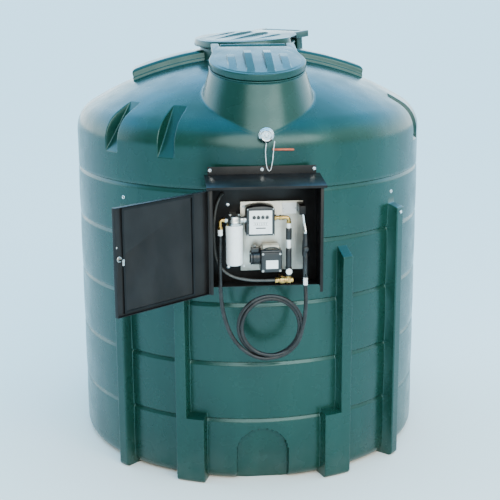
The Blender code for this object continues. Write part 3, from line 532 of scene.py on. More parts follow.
# Materials by finish, and each finish's material slot in the record, the slot's own finish first
FINISH = {}
SLOTS = {"green": "green_polyethylene", "charcoal": "charcoal_steel", "stainless": "stainless",
         "casting": "black_casting", "white": "white_paint", "brass": "brass", "zinc": "zinc",
         "rubber": "hose_rubber", "orange": "orange_plastic", "seal": "hose_rubber",
         "grey": "hose_rubber", "cream": "white_paint", "bright": "zinc",
         "bright_white": "white_paint"}


def make_finishes():
    """All materials, once, and the CAD nodes' share of them."""
    colours = bpy.context.scene.tank_finishes
    FINISH["green"] = moulded_green("moulded_green", tuple(colours.green))
    FINISH["charcoal"] = coated_steel("charcoal_coat", tuple(colours.charcoal))
    FINISH["stainless"] = brushed_metal("dull_stainless", (0.62, 0.59, 0.52), 0.42, (1.0, 1.0, 0.04))
    FINISH["rubber"] = rubber("hose_rubber", (0.0080, 0.0076, 0.0076))
    FINISH["seal"] = coated_steel("seal_foam", (0.0010, 0.0010, 0.0012))
    # Key, name, colour, then metallic, roughness, coat and how far the grime keeps its brightness
    castings = (("casting", "black_casting", tuple(colours.enamel), 0.0, 0.36, 0.15),
                ("white", "white_enamel", (0.93, 0.92, 0.91), 0.0, 0.30, 0.25, 0.95),
                ("brass", "brass", (0.68, 0.42, 0.13), 1.0, 0.30),
                ("zinc", "zinc_plate", (0.62, 0.62, 0.60), 1.0, 0.32),
                ("orange", "orange_strip", (0.55, 0.10, 0.04), 0.0, 0.45),
                ("cream", "cream_plastic", (0.64, 0.60, 0.49), 0.0, 0.40, 0.0, 0.85),
                ("bright", "bright_plating", (0.82, 0.82, 0.81), 1.0, 0.20, 0.0, 0.85),
                ("bright_white", "bright_white", (0.93, 0.93, 0.92), 0.1, 0.22, 0.4, 0.95),
                ("grey", "grey_tube", (0.055, 0.055, 0.052), 0.0, 0.45))
    for key, name, colour, *values in castings:
        FINISH[key] = cast_metal(name, colour, *values)
    share = {}
    for key, slot in SLOTS.items():
        share.setdefault(slot, key)
    for part in frame["record"]["subparts"]:
        node = frame["nodes"][part["node"]]
        finish = FINISH[share[part["material_slot"]]]
        if not node.data.materials:
            node.data.materials.append(finish)
        for index in range(len(node.data.materials)):
            node.data.materials[index] = finish


# Moulded body

def rounded_step(t, height, cove, edge):
    """Height of a raised form at a distance inside its outline, with a cove and a rounded edge."""
    cove = np.minimum(cove, height / 2)
    edge = np.minimum(edge, height / 2)
    outer = np.clip(t + cove, 0.0, None)
    low = cove - np.sqrt(np.clip(cove ** 2 - np.minimum(outer, cove) ** 2, 0.0, None))
    inner = np.clip(t, 0.0, None)
    reach = np.minimum(inner, edge)
    high = height - edge + np.sqrt(np.clip(edge ** 2 - (edge - reach) ** 2, 0.0, None))
    return np.where(t <= 0.0, low, np.maximum(high, low))


def away(azimuth, centre):
    """Degrees from a centre to an azimuth, the short way round."""
    return (azimuth - centre + 180.0) % 360.0 - 180.0


def filled_columns(taken, step, clear):
    """Azimuths in order: the ones taken, and even ones wherever none of those is near."""
    columns = [a % 360.0 for a in taken]
    columns += [a for a in np.arange(0.0, 360.0, step) if min(abs(away(a, t)) for t in taken) > clear]
    return sorted(columns)


def ring(radius, height, angle):
    """Places round the tank's axis at some radii and heights."""
    height = np.broadcast_to(height, angle.shape)
    return np.stack([radius * np.sin(angle), -radius * np.cos(angle), height], axis=1)


def as_grid(rows):
    """Rows of places as one array."""
    return np.array([[tuple(place) for place in row] for row in rows])


def leg_list():
    """Each leg's azimuth, its two lateral reaches, and the heights of its front edge and head."""
    legs = []
    for turn in (0.0, 180.0):
        for side in (-1, 1):
            inner = turn + side * INNER_LEG_AZ
            legs.append((inner, LEG_HALF, LEG_HALF, INNER_LEG_TOP))
            low, high = (FOOT_REACH, LEG_HALF) if side > 0 else (LEG_HALF, FOOT_REACH)
            legs.append((inner, low, high, FOOT_HEAD))
            legs.append((turn + side * OUTER_LEG_AZ, LEG_HALF, LEG_HALF, OUTER_LEG_TOP))
    return legs


def wall_columns(fillet, edge):
    """Azimuths of the wall's columns: a plain step, with more at each leg's sides and the arch."""
    per_degree = math.radians(1.0) * LEG_MEAN_R
    offsets = [-fillet - 0.004, -fillet, -fillet * 0.65, -fillet * 0.3, -fillet * 0.08, 0.0, 0.0012,
               edge * 0.25, edge * 0.6, edge, edge + 0.004]
    taken = []
    for middle, low, high, _ in leg_list():
        for offset in offsets:
            taken.append(middle + (-low + offset) / per_degree)
            taken.append(middle + (high - offset) / per_degree)
    arch = math.degrees(ARCH_HALF / WALL_R)
    centre = math.degrees(ARCH_X / WALL_R)
    taken += list(np.arange(centre - arch - 2.0, centre + arch + 2.01, 0.42))
    columns = filled_columns(taken, 1.5, 0.55)
    kept = [columns[0]]
    for a in columns[1:]:
        if a - kept[-1] > 0.02:
            kept.append(a)
    return np.array(kept + [kept[0] + 360.0])


def wall_rows():
    """Heights and radii of the wall's outer rows, bottom to top."""
    rows = []
    for degrees in (0, 14, 28, 42, 54, 66, 78):
        turn = math.radians(degrees)
        rows.append((FOOT_R * (1.0 - math.cos(turn)), WALL_R - FOOT_R * (1.0 - math.sin(turn))))
    breaks = [0.075]
    for z in RIB_Z + (SEAM_Z,):
        breaks += [z - 0.045, z - 0.030, z - 0.022]
        if z != SEAM_Z:
            breaks += [z + 0.010, z + 0.022]
    breaks += list(np.arange(0.09, 0.40, 0.011))
    for front, head in (INNER_LEG_TOP, OUTER_LEG_TOP, FOOT_HEAD):
        span = head - front
        breaks += [front - 0.02, front - 0.009, front - 0.003, front + 0.003]
        breaks += [front + span * k for k in (0.25, 0.5, 0.75, 0.92, 1.0, 1.08)]
    breaks += list(np.arange(0.10, 1.94, 0.075))
    for z in sorted(breaks):
        near_rib = min(abs(z - rib) for rib in RIB_Z + (SEAM_Z,))
        if near_rib > 0.009 and z - rows[-1][0] > 0.0028 and z < SEAM_Z - 0.006:
            rows.append((z, WALL_R))
    ledge = ((-0.018, 0.0012), (-0.011, 0.0048), (-0.004, 0.0086), (0.0, RIB_DEPTH), (0.003, 0.0075),
             (0.006, 0.0015))
    seam = ((-0.018, 0.0012), (-0.010, 0.0055), (-0.0004, RIB_DEPTH))
    lines = [(z, ledge, -0.017, 0.0058) for z in RIB_Z] + [(SEAM_Z, seam, -0.0175, -0.001)]
    for rib, line, low, high in lines:
        rows = [(z, r) for z, r in rows if not (low < z - rib < high and r == WALL_R)]
        rows += [(rib + rise, WALL_R - depth) for rise, depth in line]
    return sorted(rows)


def bulge(z):
    """Each band between two ribs stands out a little at its middle."""
    marks = (0.0,) + RIB_Z + (SEAM_Z,)
    for low, high in zip(marks, marks[1:]):
        if low <= z <= high:
            return BAND_BULGE * max(0.0, math.sin(math.pi * (z - low) / (high - low))) ** 0.8
    return 0.0


def wall_points(fillet, edge):
    """Places of the wall's grid, its outer face first and then back down its inner face."""
    columns = wall_columns(fillet, edge)
    angle = np.radians(columns)
    front = np.cos(angle) > 0.5
    arch_y = -(WALL_R - ARCH_DEPTH)
    layers = []
    for z, r in wall_rows():
        radius = r + bulge(z)
        for middle, low, high, (edge_top, head) in leg_list():
            lateral = away(columns, middle) * math.radians(1.0) * LEG_MEAN_R
            inside = np.minimum(lateral + low, high - lateral)
            out = LEG_OUT * min(1.0, max(0.0, (head - z) / (head - edge_top)))
            out -= FOOT_TUCK * max(0.0, 1.0 - z / FOOT_FADE) ** 2
            if out > 0.001:
                raised = rounded_step(inside, out + (WALL_R - r), fillet, edge)
                radius = np.maximum(radius, r + raised)
        layer = ring(radius, z, angle)
        y = layer[:, 1]
        past_edge = ARCH_HALF - np.hypot(layer[:, 0] - ARCH_X, max(0.0, z - ARCH_TOP + ARCH_HALF))
        depth = rounded_step(past_edge - 0.004, ARCH_DEPTH, ARCH_COVE, ARCH_EDGE)
        share = np.where(front & (past_edge > -0.004), np.clip(depth / ARCH_DEPTH, 0.0, 1.0), 0.0)
        layer[:, 1] = y + (np.maximum(arch_y, y) - y) * share
        layers.append(layer)
    for z, r in ((SEAM_Z - 0.0004, WALL_INNER_R), (0.40, WALL_INNER_R), (FOOT_R, WALL_INNER_R),
                 (0.036, 1.169), (0.020, 1.130), (0.0125, 1.1125)):
        layer = ring(r, z, angle)
        if z < 0.39:
            near = front & (np.abs(layer[:, 0] - ARCH_X) < ARCH_HALF + 0.02)
            pushed = np.maximum(layer[:, 1], arch_y + ARCH_SKIN)
            layer[:, 1] = np.where(near, pushed, layer[:, 1])
        layers.append(layer)
    return np.array(layers + layers[:1])


class TANK_OT_wall(bpy.types.Operator):
    """Moulded wall with its rib lines, buttress legs, arched recess and plugs"""

    bl_idname = "tank.wall"
    bl_label = "Moulded wall"

    def execute(self, context):
        sizes = context.scene.tank_settings
        grid_surface(wall_points(sizes.fillet, sizes.edge))
        walls = ["wall_front_left", "wall_front_right", "wall_right", "wall_back_right",
                 "wall_back_left", "wall_left"]
        legs = [f"{kind}_{end}_{side}" for kind in ("leg", "outer_leg") for end in ("front", "back")
                for side in ("left", "right")]
        adopt("moulded_wall", "green", 60.0, replaces=walls + legs)
        plugs = []
        profile = [(0.0, 0.0), (0.0125, 0.0), (0.0125, 0.0048), (0.0115, 0.0062), (0.0085, 0.0062),
                   (0.0075, 0.0050), (0.0065, 0.0020), (0.0, 0.0014)]
        for side in (-1, 1):
            a = math.radians(side * OUTER_LEG_AZ)
            out = Vector((math.sin(a), -math.cos(a), 0.0))
            for reach, z in ((WALL_R + LEG_OUT - 0.004, 1.722), (WALL_R - 0.004, 1.851)):
                start = out * (reach + bulge(z)) + Vector((0, 0, z))
                plugs.append(turned(profile, start, out, 28))
        outward(join(plugs))
        adopt("wall_plugs", "bright", 35.0)
        return {"FINISHED"}


def dome_z(r):
    """Height of the dome at a radius."""
    return DOME_CENTRE_Z + math.sqrt(DOME_R ** 2 - r ** 2)


def roof_profile():
    """Radius and height along the roof's outer line, skirt to pole."""
    line = [(WALL_R - RIB_DEPTH, SEAM_Z), (WALL_R - 0.004, SEAM_Z + 0.003), (WALL_R, SEAM_Z + 0.008)]
    line += [(WALL_R, z) for z in (1.975, 2.02, 2.07, 2.11, 2.125, 2.133, 2.137, 2.141, 2.150, 2.165,
                                   2.185)]
    arc_end = 90.0 - math.degrees(math.asin((WALL_R - SHOULDER_R) / (DOME_R - SHOULDER_R)))
    for k in range(0, 13):
        a = math.radians(arc_end * k / 12.0)
        line.append((WALL_R - SHOULDER_R + SHOULDER_R * math.cos(a),
                     SHOULDER_Z + SHOULDER_R * math.sin(a)))
    radii = [1.085, 1.065, 1.045, 1.028, 1.014, 1.004, 0.998, 0.992, 0.982, 0.965]
    radii += list(np.arange(0.93, 0.02, -0.045))
    line += [(r, dome_z(r)) for r in radii]
    return line + [(0.0, DOME_CENTRE_Z + DOME_R)]


def roof_points():
    """Places of the roof's grid: outer face from skirt to pole, then the inner face back."""
    offsets = (-0.60, -0.36, -0.24, -0.12, -0.02, 0.085, 0.12, 0.18, 0.26, 0.36, 0.48, 0.62, 0.9)
    taken = []
    for centre in SLOT_AZ:
        taken += [centre - SLOT_HALF + o for o in offsets]
        taken += [centre + SLOT_HALF - o for o in offsets]
        taken += [centre - 1.0, centre, centre + 1.0]
    columns = filled_columns(taken, 1.875, 0.6)
    columns = np.array(columns + [columns[0] + 360.0])
    angle = np.radians(columns)
    start = np.array(SLOT_FOOT)
    chord = np.array((SLOT_HEAD_R, dome_z(SLOT_HEAD_R))) - start
    length = np.linalg.norm(chord)
    chord = chord / length
    inside = np.full(len(columns), -1.0)
    for centre in SLOT_AZ:
        past_edge = SLOT_HALF - np.abs(away(columns, centre))
        inside = np.maximum(inside, past_edge * math.radians(1.0) * SLOT_MEAN_R)
    layers = []
    for r, z in roof_profile():
        radius, height = r, z
        along = float(np.dot(np.array((r, z)) - start, chord))
        if 0.0 < along < length:
            foot = start + chord * along
            gap = math.hypot(r - foot[0], z - foot[1])
            if gap > 0.001:
                sunk = rounded_step(inside - 0.002, gap, SLOT_COVE, SLOT_EDGE)
                share = np.clip(np.where(inside > -0.008, sunk, 0.0) / gap, 0.0, 1.0)
                radius = r + (foot[0] - r) * share
                height = z + (foot[1] - z) * share
        layers.append(ring(radius, height, angle))
    under = [(r, dome_z(r) - ROOF_T) for r in (0.0, 0.20, 0.36, 0.50, 0.65, 0.80, 0.92)]
    under += [(0.978, 2.424), (1.080, 2.275), (1.160, 2.150), (WALL_INNER_R, 2.090),
              (WALL_INNER_R, SEAM_Z)]
    layers += [ring(r, z, angle) for r, z in under]
    return np.array(layers + layers[:1])


def on_roof(point):
    """Nearest place on the roof's plain outer face, and its outward direction."""
    r = math.hypot(point.x, point.y)
    out = Vector((point.x / r, point.y / r, 0.0)) if r > 1e-6 else Vector((1, 0, 0))
    crown = Vector((0.0, 0.0, DOME_CENTRE_Z))
    shoulder = out * (WALL_R - SHOULDER_R) + Vector((0.0, 0.0, SHOULDER_Z))
    normal = (point - crown).normalized()
    place = crown + normal * DOME_R
    if math.hypot(place.x, place.y) > DOME_EDGE_R:
        normal = (point - shoulder).normalized()
        place = shoulder + normal * SHOULDER_R
        if place.z < SHOULDER_Z:
            normal = out
            place = Vector((out.x * WALL_R, out.y * WALL_R, point.z))
    return place, normal


class TANK_OT_roof(bpy.types.Operator):
    """Domed roof with its shoulder slots, open at the two necks"""

    bl_idname = "tank.roof"
    bl_label = "Moulded roof"

    def execute(self, context):
        roof = grid_surface(roof_points())
        boolean(roof, bar((0, 0, 2.3), (0, 0, 3.0), TURRET_R - 0.004, 64), "DIFFERENCE")
        bore = [(0.380, 2.0), (0.380, 2.34), (0.366, 2.44), (0.350, 2.50), (0.312, 2.63),
                (0.280, 2.80)]
        boolean(roof, lathed(bore, HATCH_CENTRE, steps=96), "DIFFERENCE")
        adopt("moulded_roof", "green", 42.0, replaces=["roof"])
        return {"FINISHED"}


# Rolled lip of a neck: each point's reach outward and drop below the rim
NECK_LIP = ((0.0045, 0.0), (0.0065, 0.0015), (0.0070, 0.0045), (0.0060, 0.0085), (0.0025, 0.0115))


def neck_section(profile, height):
    """Radius of a neck at a height."""
    heights = [h for h, _ in profile]
    radii = [r for _, r in profile]
    return float(np.interp(height, heights, radii))


def hatch_section(a, rim_r, rim_z):
    """Profile of the front neck at an azimuth: a straight cone, its foot lower at the front."""
    foot = 2.385 - 0.125 * max(0.0, math.cos(a))
    slope = (HATCH_NECK_R - rim_r) / (rim_z - foot)
    return ((2.10, HATCH_NECK_R), (foot - 0.040, HATCH_NECK_R), (foot - 0.005, HATCH_NECK_R - 0.0012),
            (foot + 0.030, HATCH_NECK_R - 0.0012 - 0.030 * slope), (rim_z, rim_r), (2.95, rim_r))


def turret_section(a, rim_r, rim_z):
    """Heights and radii of the central turret: plain and upright at every azimuth."""
    return ((2.40, TURRET_R), (2.90, TURRET_R))


def neck_points(centre, section_at, rim_at, fillet, low_inside):
    """Grid of a neck: its lip under the lid, outer face, the cove onto the roof, and its bore."""
    columns = 144
    rows = 24
    grid = []
    for i in range(columns + 1):
        a = 2.0 * math.pi * i / columns
        out = Vector((math.sin(a), -math.cos(a), 0.0))
        rim = rim_at(a)
        section = section_at(a, (rim - Vector(centre)).to_2d().length, rim.z)

        def face(z, out=out, section=section):
            return Vector(centre) + out * neck_section(section, z) + Vector((0, 0, z))

        low, high = 2.15, 2.75
        for _ in range(40):
            middle = (low + high) / 2
            place, normal = on_roof(face(middle))
            if (face(middle) - place).dot(normal) > 0:
                high = middle
            else:
                low = middle
        meet = face(high)
        place, normal = on_roof(meet)
        downhill = (out - normal * out.dot(normal)).normalized()
        upper = face(high + fillet)
        lower, lower_normal = on_roof(meet + downhill * fillet)
        shift = rim - face(rim.z)
        down = Vector((0.0, 0.0, -1.0))
        column = [rim - out * (NECK_T - 0.004)]
        column += [rim + out * reach + down * drop for reach, drop in NECK_LIP]
        start = rim.z - 0.013
        for k in range(rows):
            z = start + (high + fillet - start) * k / rows
            share = (1.0 - k / (rows * 0.6)) if k < rows * 0.6 else 0.0
            column.append(face(z) + shift * eased(share))
        for k in range(0, 8):
            t = k / 7.0
            column.append(upper * (1 - t) ** 2 + meet * 2 * t * (1 - t) + lower * t * t)
        column.append(lower + downhill * 0.004 - lower_normal * 0.003)
        column.append(meet - out * NECK_T - Vector((0, 0, low_inside)))
        column.append(column[0])
        grid.append(column)
    return np.transpose(as_grid(grid), (1, 0, 2))


def hatch_rim(a):
    """Place under the front lid's rim at an azimuth."""
    radius, *pose = HATCH_LID
    reach = radius - 0.005
    local = Vector((reach * math.sin(a), reach * -math.cos(a), -LID_T - LID_GAP, 1.0))
    return (lid_matrix(*pose) @ local).to_3d()


def turret_rim(a):
    """Place under the turret lid's rim at an azimuth."""
    middle = lid_matrix(*TURRET_LID[1:])
    plane = middle @ Vector((0.0, 0.0, -LID_T - LID_GAP, 1.0))
    normal = (middle @ Vector((0.0, 0.0, 1.0, 0.0))).to_3d()
    place = Vector((TURRET_R * math.sin(a), -TURRET_R * math.cos(a), 0.0))
    place.z = plane.z - (normal.x * (place.x - plane.x) + normal.y * (place.y - plane.y)) / normal.z
    return place


class TANK_OT_necks(bpy.types.Operator):
    """Necks of the front hatch and the central turret, coved into the roof"""

    bl_idname = "tank.necks"
    bl_label = "Hatch necks"

    def execute(self, context):
        cove = context.scene.tank_settings.neck_fillet
        grid_surface(neck_points(HATCH_CENTRE, hatch_section, hatch_rim, cove, 0.06))
        adopt("hatch_neck_moulding", "green", 50.0, replaces=["hatch_neck"])
        grid_surface(neck_points(TURRET_CENTRE, turret_section, turret_rim, 0.020, 0.03))
        adopt("turret_neck_moulding", "green", 50.0, replaces=["turret_neck"])
        return {"FINISHED"}


BEAM_FACE = ((-0.012, -0.004), (-0.007, 0.0), (-0.003, 0.0006), (-0.0005, 0.003), (0.001, 0.010),
             (0.0018, 0.018), (0.0032, 0.0215), (0.0050, 0.0232), (0.0062, 0.0250), (0.0072, 0.030),
             (0.0090, 0.045), (0.0102, 0.053), (0.0130, 0.0590), (0.0200, 0.0655), (0.0260, 0.0690),
             (0.0320, 0.0708), (0.0420, 0.0718), (0.0520, 0.0722))


def beam_height(inside):
    """Height of the beam at a distance inside its foot: a low step, the face and a sloping edge."""
    return float(np.interp(inside, [t for t, _ in BEAM_FACE], [h for _, h in BEAM_FACE]))


def beam_points(side):
    """Grid of one half of the beam across the roof."""
    reach, half = 0.799, 0.130
    steps = [t for t, _ in BEAM_FACE]
    lateral = [-half + t for t in steps] + [-0.04, 0.0, 0.04] + [half - t for t in reversed(steps)]
    along = [0.29, 0.36, 0.42, 0.48, 0.54, 0.60, 0.66, 0.70] + [reach - t for t in reversed(steps)]
    rows = []
    for a in along:
        row = []
        for b in lateral:
            inside = min(reach - a, half - abs(b))
            flat = Vector((side * a, b, DOME_CENTRE_Z + math.sqrt(DOME_R ** 2 - a * a - b * b)))
            normal = (flat - Vector((0, 0, DOME_CENTRE_Z))).normalized()
            tilt = Vector((normal.x, normal.y * 0.2, normal.z)).normalized()
            row.append(flat + tilt * beam_height(inside))
        rows.append(row)
    return as_grid(rows)


class TANK_OT_beams(bpy.types.Operator):
    """The two halves of the beam moulded across the roof"""

    bl_idname = "tank.beams"
    bl_label = "Roof beam"

    def execute(self, context):
        for side, name in ((-1, "left"), (1, "right")):
            piece = grid_surface(beam_points(side))
            apply_modifier(piece, "SOLIDIFY", thickness=0.008, offset=-1.0)
            outward(piece)
            adopt(f"beam_{name}_moulding", "green", 50.0, replaces=[f"roof_beam_{name}"])
        return {"FINISHED"}


def eased(t):
    """A share from 0 to 1 that starts and ends gently."""
    return t * t * (3 - 2 * t)


def lid_matrix(centre, tilt, azimuth):
    """Frame of a lid, its hinge toward local +Y and at an azimuth."""
    turn = Matrix.Rotation(math.radians(azimuth - 180.0), 4, "Z")
    return Matrix.Translation(centre) @ turn @ Matrix.Rotation(math.radians(tilt), 4, "X")


def lid_outline(radius, ear_x, ear_half, ear_y, back_y):
    """Round front, straight back and two ears with rounded ends."""
    corner, notch = 0.016, 0.012
    right = []
    for k in range(1, 9):
        t = k / 8.0
        right.append((radius + (ear_x + ear_half - radius) * eased(t), radius * 0.66 * t))
    right += arc(ear_x + ear_half - corner, ear_y - corner, corner, 0.0, 90.0, 8)
    right += arc(ear_x - ear_half + corner, ear_y - corner, corner, 90.0, 90.0, 8)
    right += arc(ear_x - ear_half - notch, back_y + notch, notch, 0.0, -90.0, 6)
    left = [(-x, y) for x, y in reversed(right)]
    return arc(0.0, 0.0, radius, 180.0, 180.0, 64) + right + left


def lid_crown(radius, ribs, rib_half):
    """Gently domed middle of a lid with wedges that fall from the back to the front."""
    edge = 0.955 * radius
    steps = (-1.6, -1.25, -1.1, -1.0, -0.9, -0.75, 0.0, 0.75, 0.9, 1.0, 1.1, 1.25, 1.6)
    xs = [centre + step * rib_half for centre, _ in ribs for step in steps]
    xs += list(np.linspace(-0.94, 0.94, 15) * radius)
    xs = sorted(x for x in set(round(x, 5) for x in xs) if abs(x) < edge * 0.998)
    xs = [-edge] + xs + [edge]
    rows = []
    count = 60
    for j in range(count + 1):
        v = -1.0 + 2.0 * j / count
        row = []
        for x in xs:
            half = math.sqrt(max(0.0, edge ** 2 - x * x))
            y = half * v
            q = math.hypot(x, y) / radius
            t = max(0.0, min(1.0, (0.955 - q) / 0.05))
            height = -0.004 + 0.0055 * eased(t) + 0.009 * (1.0 - q * q)
            for centre, rib_height in ribs:
                limit = math.sqrt(max(0.0, 0.88 ** 2 - (centre / radius) ** 2)) * radius
                front, back = -limit, limit * 0.38
                across = max(0.0, min(1.0, (1.12 - abs(x - centre) / rib_half) / 0.24))
                along = (back - y) / (back - front)
                if across > 0.0 and 0.0 < along < 1.0:
                    rise = math.sqrt(max(0.0, 1.0 - (1.0 - min(1.0, along / 0.06)) ** 2))
                    fall = min(0.76 + 0.24 * along / 0.27, (1.0 - along) / 0.73)
                    height += rib_height * rise * fall * eased(across)
            row.append((x, y, height))
        rows.append(row)
    return as_grid(rows)


def build_lid(name, node, lid, ear_x, ribs, draft):
    """A lid with a rolled rim, wedge ribs, hollow underside and hinge ears."""
    radius, *pose = lid
    back_y = radius * LID_BACK
    axis_y = back_y + LID_AXIS
    plate = extruded(lid_outline(radius, ear_x, 0.027, back_y + 0.075, back_y), -LID_T, 0.0)
    for vertex in plate.data.vertices:
        if vertex.co.z > -0.001 and vertex.co.y < back_y * 0.8:
            vertex.co.xy *= 1.0 - draft / radius
    bevelled(plate, 0.006, 3, 50.0)
    boolean(plate, bar((0, 0, -LID_T - 0.01), (0, 0, -0.010), radius - 0.014, 72), "DIFFERENCE")
    reach = ear_x + 0.05
    boolean(plate, bar((-reach, axis_y, -LID_T / 2), (reach, axis_y, -LID_T / 2), 0.0086, 20),
            "DIFFERENCE")
    crown = grid_surface(lid_crown(radius - draft, ribs, 0.026))
    apply_modifier(crown, "SOLIDIFY", thickness=0.004, offset=-1.0)
    outward(crown)
    piece = join([plate, crown])
    piece.data.transform(lid_matrix(*pose))
    adopt(name, "green", 40.0, body=node, replaces=[node])


def build_hinge(name, node, lid, half, lean):
    """Hinge block between a lid's two ears: its front leans back, with a barrel in it."""
    radius, *pose = lid
    base = outward(node_copy(node), 0.00003)
    place = lid_matrix(*pose)
    base.data.transform(place.inverted())
    middle = sum((v.co for v in base.data.vertices), Vector()) / len(base.data.vertices)
    for vertex in base.data.vertices:
        if vertex.co.z > middle.z and vertex.co.y < middle.y:
            vertex.co.y += lean
    bevelled(base, 0.004, 2, 40.0)
    axis_y = radius * LID_BACK + LID_AXIS
    long = 2 * half
    barrel = [(0.019, 0.0), (0.0215, 0.002), (0.0225, 0.006), (0.0225, long - 0.006),
              (0.0215, long - 0.002), (0.019, long)]
    boolean(base, lathed(barrel, (-half, axis_y, -LID_T / 2), (1, 0, 0), 40), "UNION")
    base.data.transform(place)
    adopt(name, "green", 40.0, replaces=[node])


class TANK_OT_lids(bpy.types.Operator):
    """Ribbed lids of the front hatch and the central turret, with their hinge blocks"""

    bl_idname = "tank.lids"
    bl_label = "Hatch lids"

    def execute(self, context):
        build_lid("hatch_lid_moulding", "hatch_lid", HATCH_LID, 0.252, HATCH_RIBS, 0.0)
        build_lid("turret_lid_moulding", "turret_lid", TURRET_LID, 0.190, TURRET_RIBS, 0.010)
        build_hinge("hatch_hinge_block", "hatch_hinge", HATCH_LID, 0.217, 0.016)
        build_hinge("turret_hinge_block", "turret_hinge", TURRET_LID, 0.155, 0.0)
        return {"FINISHED"}


# Cabinet and door

def node_copy(node):
    """An object of its own with a copy of a CAD node's mesh."""
    return only(placed(frame["nodes"][node].data.copy()))


def worked_copy(node, width, finish, body="tank", segments=2):
    """A merged copy of a CAD node with its edges rounded."""
    piece = edit_all(node_copy(node), (bpy.ops.mesh.remove_doubles, dict(threshold=0.00003)),
                     (bpy.ops.mesh.dissolve_limited, dict(angle_limit=math.radians(0.6))))
    if width:
        bevelled(piece, width, segments, 35.0)
    return adopt(node + "_edged", finish, 32.0, body, [node])


def hex_nut(start, end, across):
    """A six-sided nut between two points, its corners eased."""
    return bevelled(bar(start, end, across / math.sqrt(3.0), 6), across * 0.05, 2, 25.0)


def screw(place, toward, radius, depth=0.004):
    """A socket screw with a washer, standing out from a face."""
    place, toward = Vector(place), Vector(toward).normalized()
    washer = lathed([(radius * 1.45, 0.0), (radius * 1.5, 0.0006), (radius * 1.4, 0.0014)],
                    place, toward, 20)
    head = lathed([(radius, 0.001), (radius, depth * 0.8), (radius * 0.9, depth),
                   (radius * 0.55, depth), (radius * 0.5, depth * 0.45)], place, toward, 20)
    return [washer, head]


def screws_at(places, toward, radius, depth=0.004):
    """Like screws at some places."""
    return [part for place in places for part in screw(place, toward, radius, depth)]


def door_frame():
    """Carries a place of the shut door to where the open door has it."""
    axis = Vector((DOOR_AXIS[0], DOOR_AXIS[1], 0.0))
    turn = Matrix.Rotation(math.radians(-DOOR_OPEN), 4, "Z")
    return Matrix.Translation(axis) @ turn @ Matrix.Translation(-axis)


def lettering(words, place, height, extrude):
    """Plain figures that face the front, as a mesh."""
    deselect()
    bpy.ops.object.text_add(location=place, rotation=(math.pi / 2, 0, 0))
    text = bpy.context.object
    text.data.body = words
    text.data.size = height
    text.data.align_x = "CENTER"
    text.data.align_y = "CENTER"
    text.data.extrude = extrude
    text.data.offset = height * 0.05
    text.data.resolution_u = 4
    return as_mesh(text)


class TANK_OT_cabinet(bpy.types.Operator):
    """Cabinet sheets with eased edges, their bolts, and the pad behind them"""

    bl_idname = "tank.cabinet"
    bl_label = "Cabinet"

    def execute(self, context):
        for node in ("cabinet_back", "cabinet_left_side", "cabinet_right_side", "cabinet_floor",
                     "cabinet_canopy"):
            worked_copy(node, 0.0011, "charcoal")
        worked_copy("cabinet_pad", 0.010, "green", segments=3)
        worked_copy("door_hinge_rod", 0.0, "charcoal")
        places = [(x, -1.2228, 2.084) for x in (-0.336, -0.014, 0.310)]
        bolts = screws_at(places, (0, -1, 0), 0.0072, 0.0062)
        x = -0.228
        for z in (1.868, 1.47):
            bolts.append(hex_nut((x, -1.2243, z), (x, -1.2300, z), 0.013))
            bolts.append(bar((x, -1.2230, z), (x, -1.2247, z), 0.0095, 24))
        outward(join(bolts))
        adopt("cabinet_bolts", "bright", 30.0)
        return {"FINISHED"}


class TANK_OT_door(bpy.types.Operator):
    """Door pan with its seal, a rivet, and the lock with its case"""

    bl_idname = "tank.door"
    bl_label = "Door"

    def execute(self, context):
        worked_copy("cabinet_door", 0.0009, "charcoal", body="cabinet_door")
        worked_copy("door_lock", 0.0008, "zinc", body="door_lock")
        pan_depth, sheet = 0.02875, 0.0025
        start, skin = DOOR_AXIS[0], DOOR_AXIS[1] - pan_depth + sheet
        low, high = 1.389, 2.002
        near, far, wide = 0.098, 0.628, 0.013
        strips = [block((start + (near + far) / 2, skin + 0.0035, z), (far - near, 0.007, wide))
                  for z in (low + wide / 2, high - wide / 2)]
        strips += [block((start + along, skin + 0.0035, (low + high) / 2), (wide, 0.007, high - low))
                   for along in (near + wide / 2, far - wide / 2)]
        seal = strips[0]
        for other in strips[1:]:
            boolean(seal, other, "UNION")
        bevelled(seal, 0.003, 3, 40.0).data.transform(door_frame())
        adopt("door_seal", "seal", 40.0, body="cabinet_door")
        lock_x = start + 0.652
        collar = [(0.0098, 0.0), (0.0165, 0.0), (0.0165, 0.0015), (0.0135, 0.0035), (0.0135, 0.009),
                  (0.0098, 0.009), (0.0098, 0.0)]
        case = turned(collar, (lock_x, skin, 1.712), (0, 1, 0), 28)
        rivet = turned([(0.0, 0.0), (0.006, 0.0), (0.0056, 0.0016), (0.003, 0.0028), (0.0, 0.0032)],
                       (start + 0.668, skin, 1.781), (0, 1, 0), 20)
        join([case, rivet]).data.transform(door_frame())
        adopt("door_fittings", "zinc", 35.0, body="cabinet_door")
        return {"FINISHED"}


# Dispensing equipment

class TANK_OT_plate(bpy.types.Operator):
    """Stainless plate with its screws, and the blank label on it"""

    bl_idname = "tank.plate"
    bl_label = "Equipment plate"

    def execute(self, context):
        worked_copy("equipment_plate", 0.0009, "stainless")
        worked_copy("plate_label", 0.0004, "white")
        corners = [(x, -1.2650, z) for x in (-0.134, 0.216) for z in (1.485, 1.863)]
        screws = screws_at(corners, (0, -1, 0), 0.006)
        screws += screws_at([(x, -1.2664, 1.846) for x in (0.112, 0.188)], (0, -1, 0), 0.0026, 0.002)
        outward(join(screws))
        adopt("plate_screws", "zinc", 30.0)
        return {"FINISHED"}


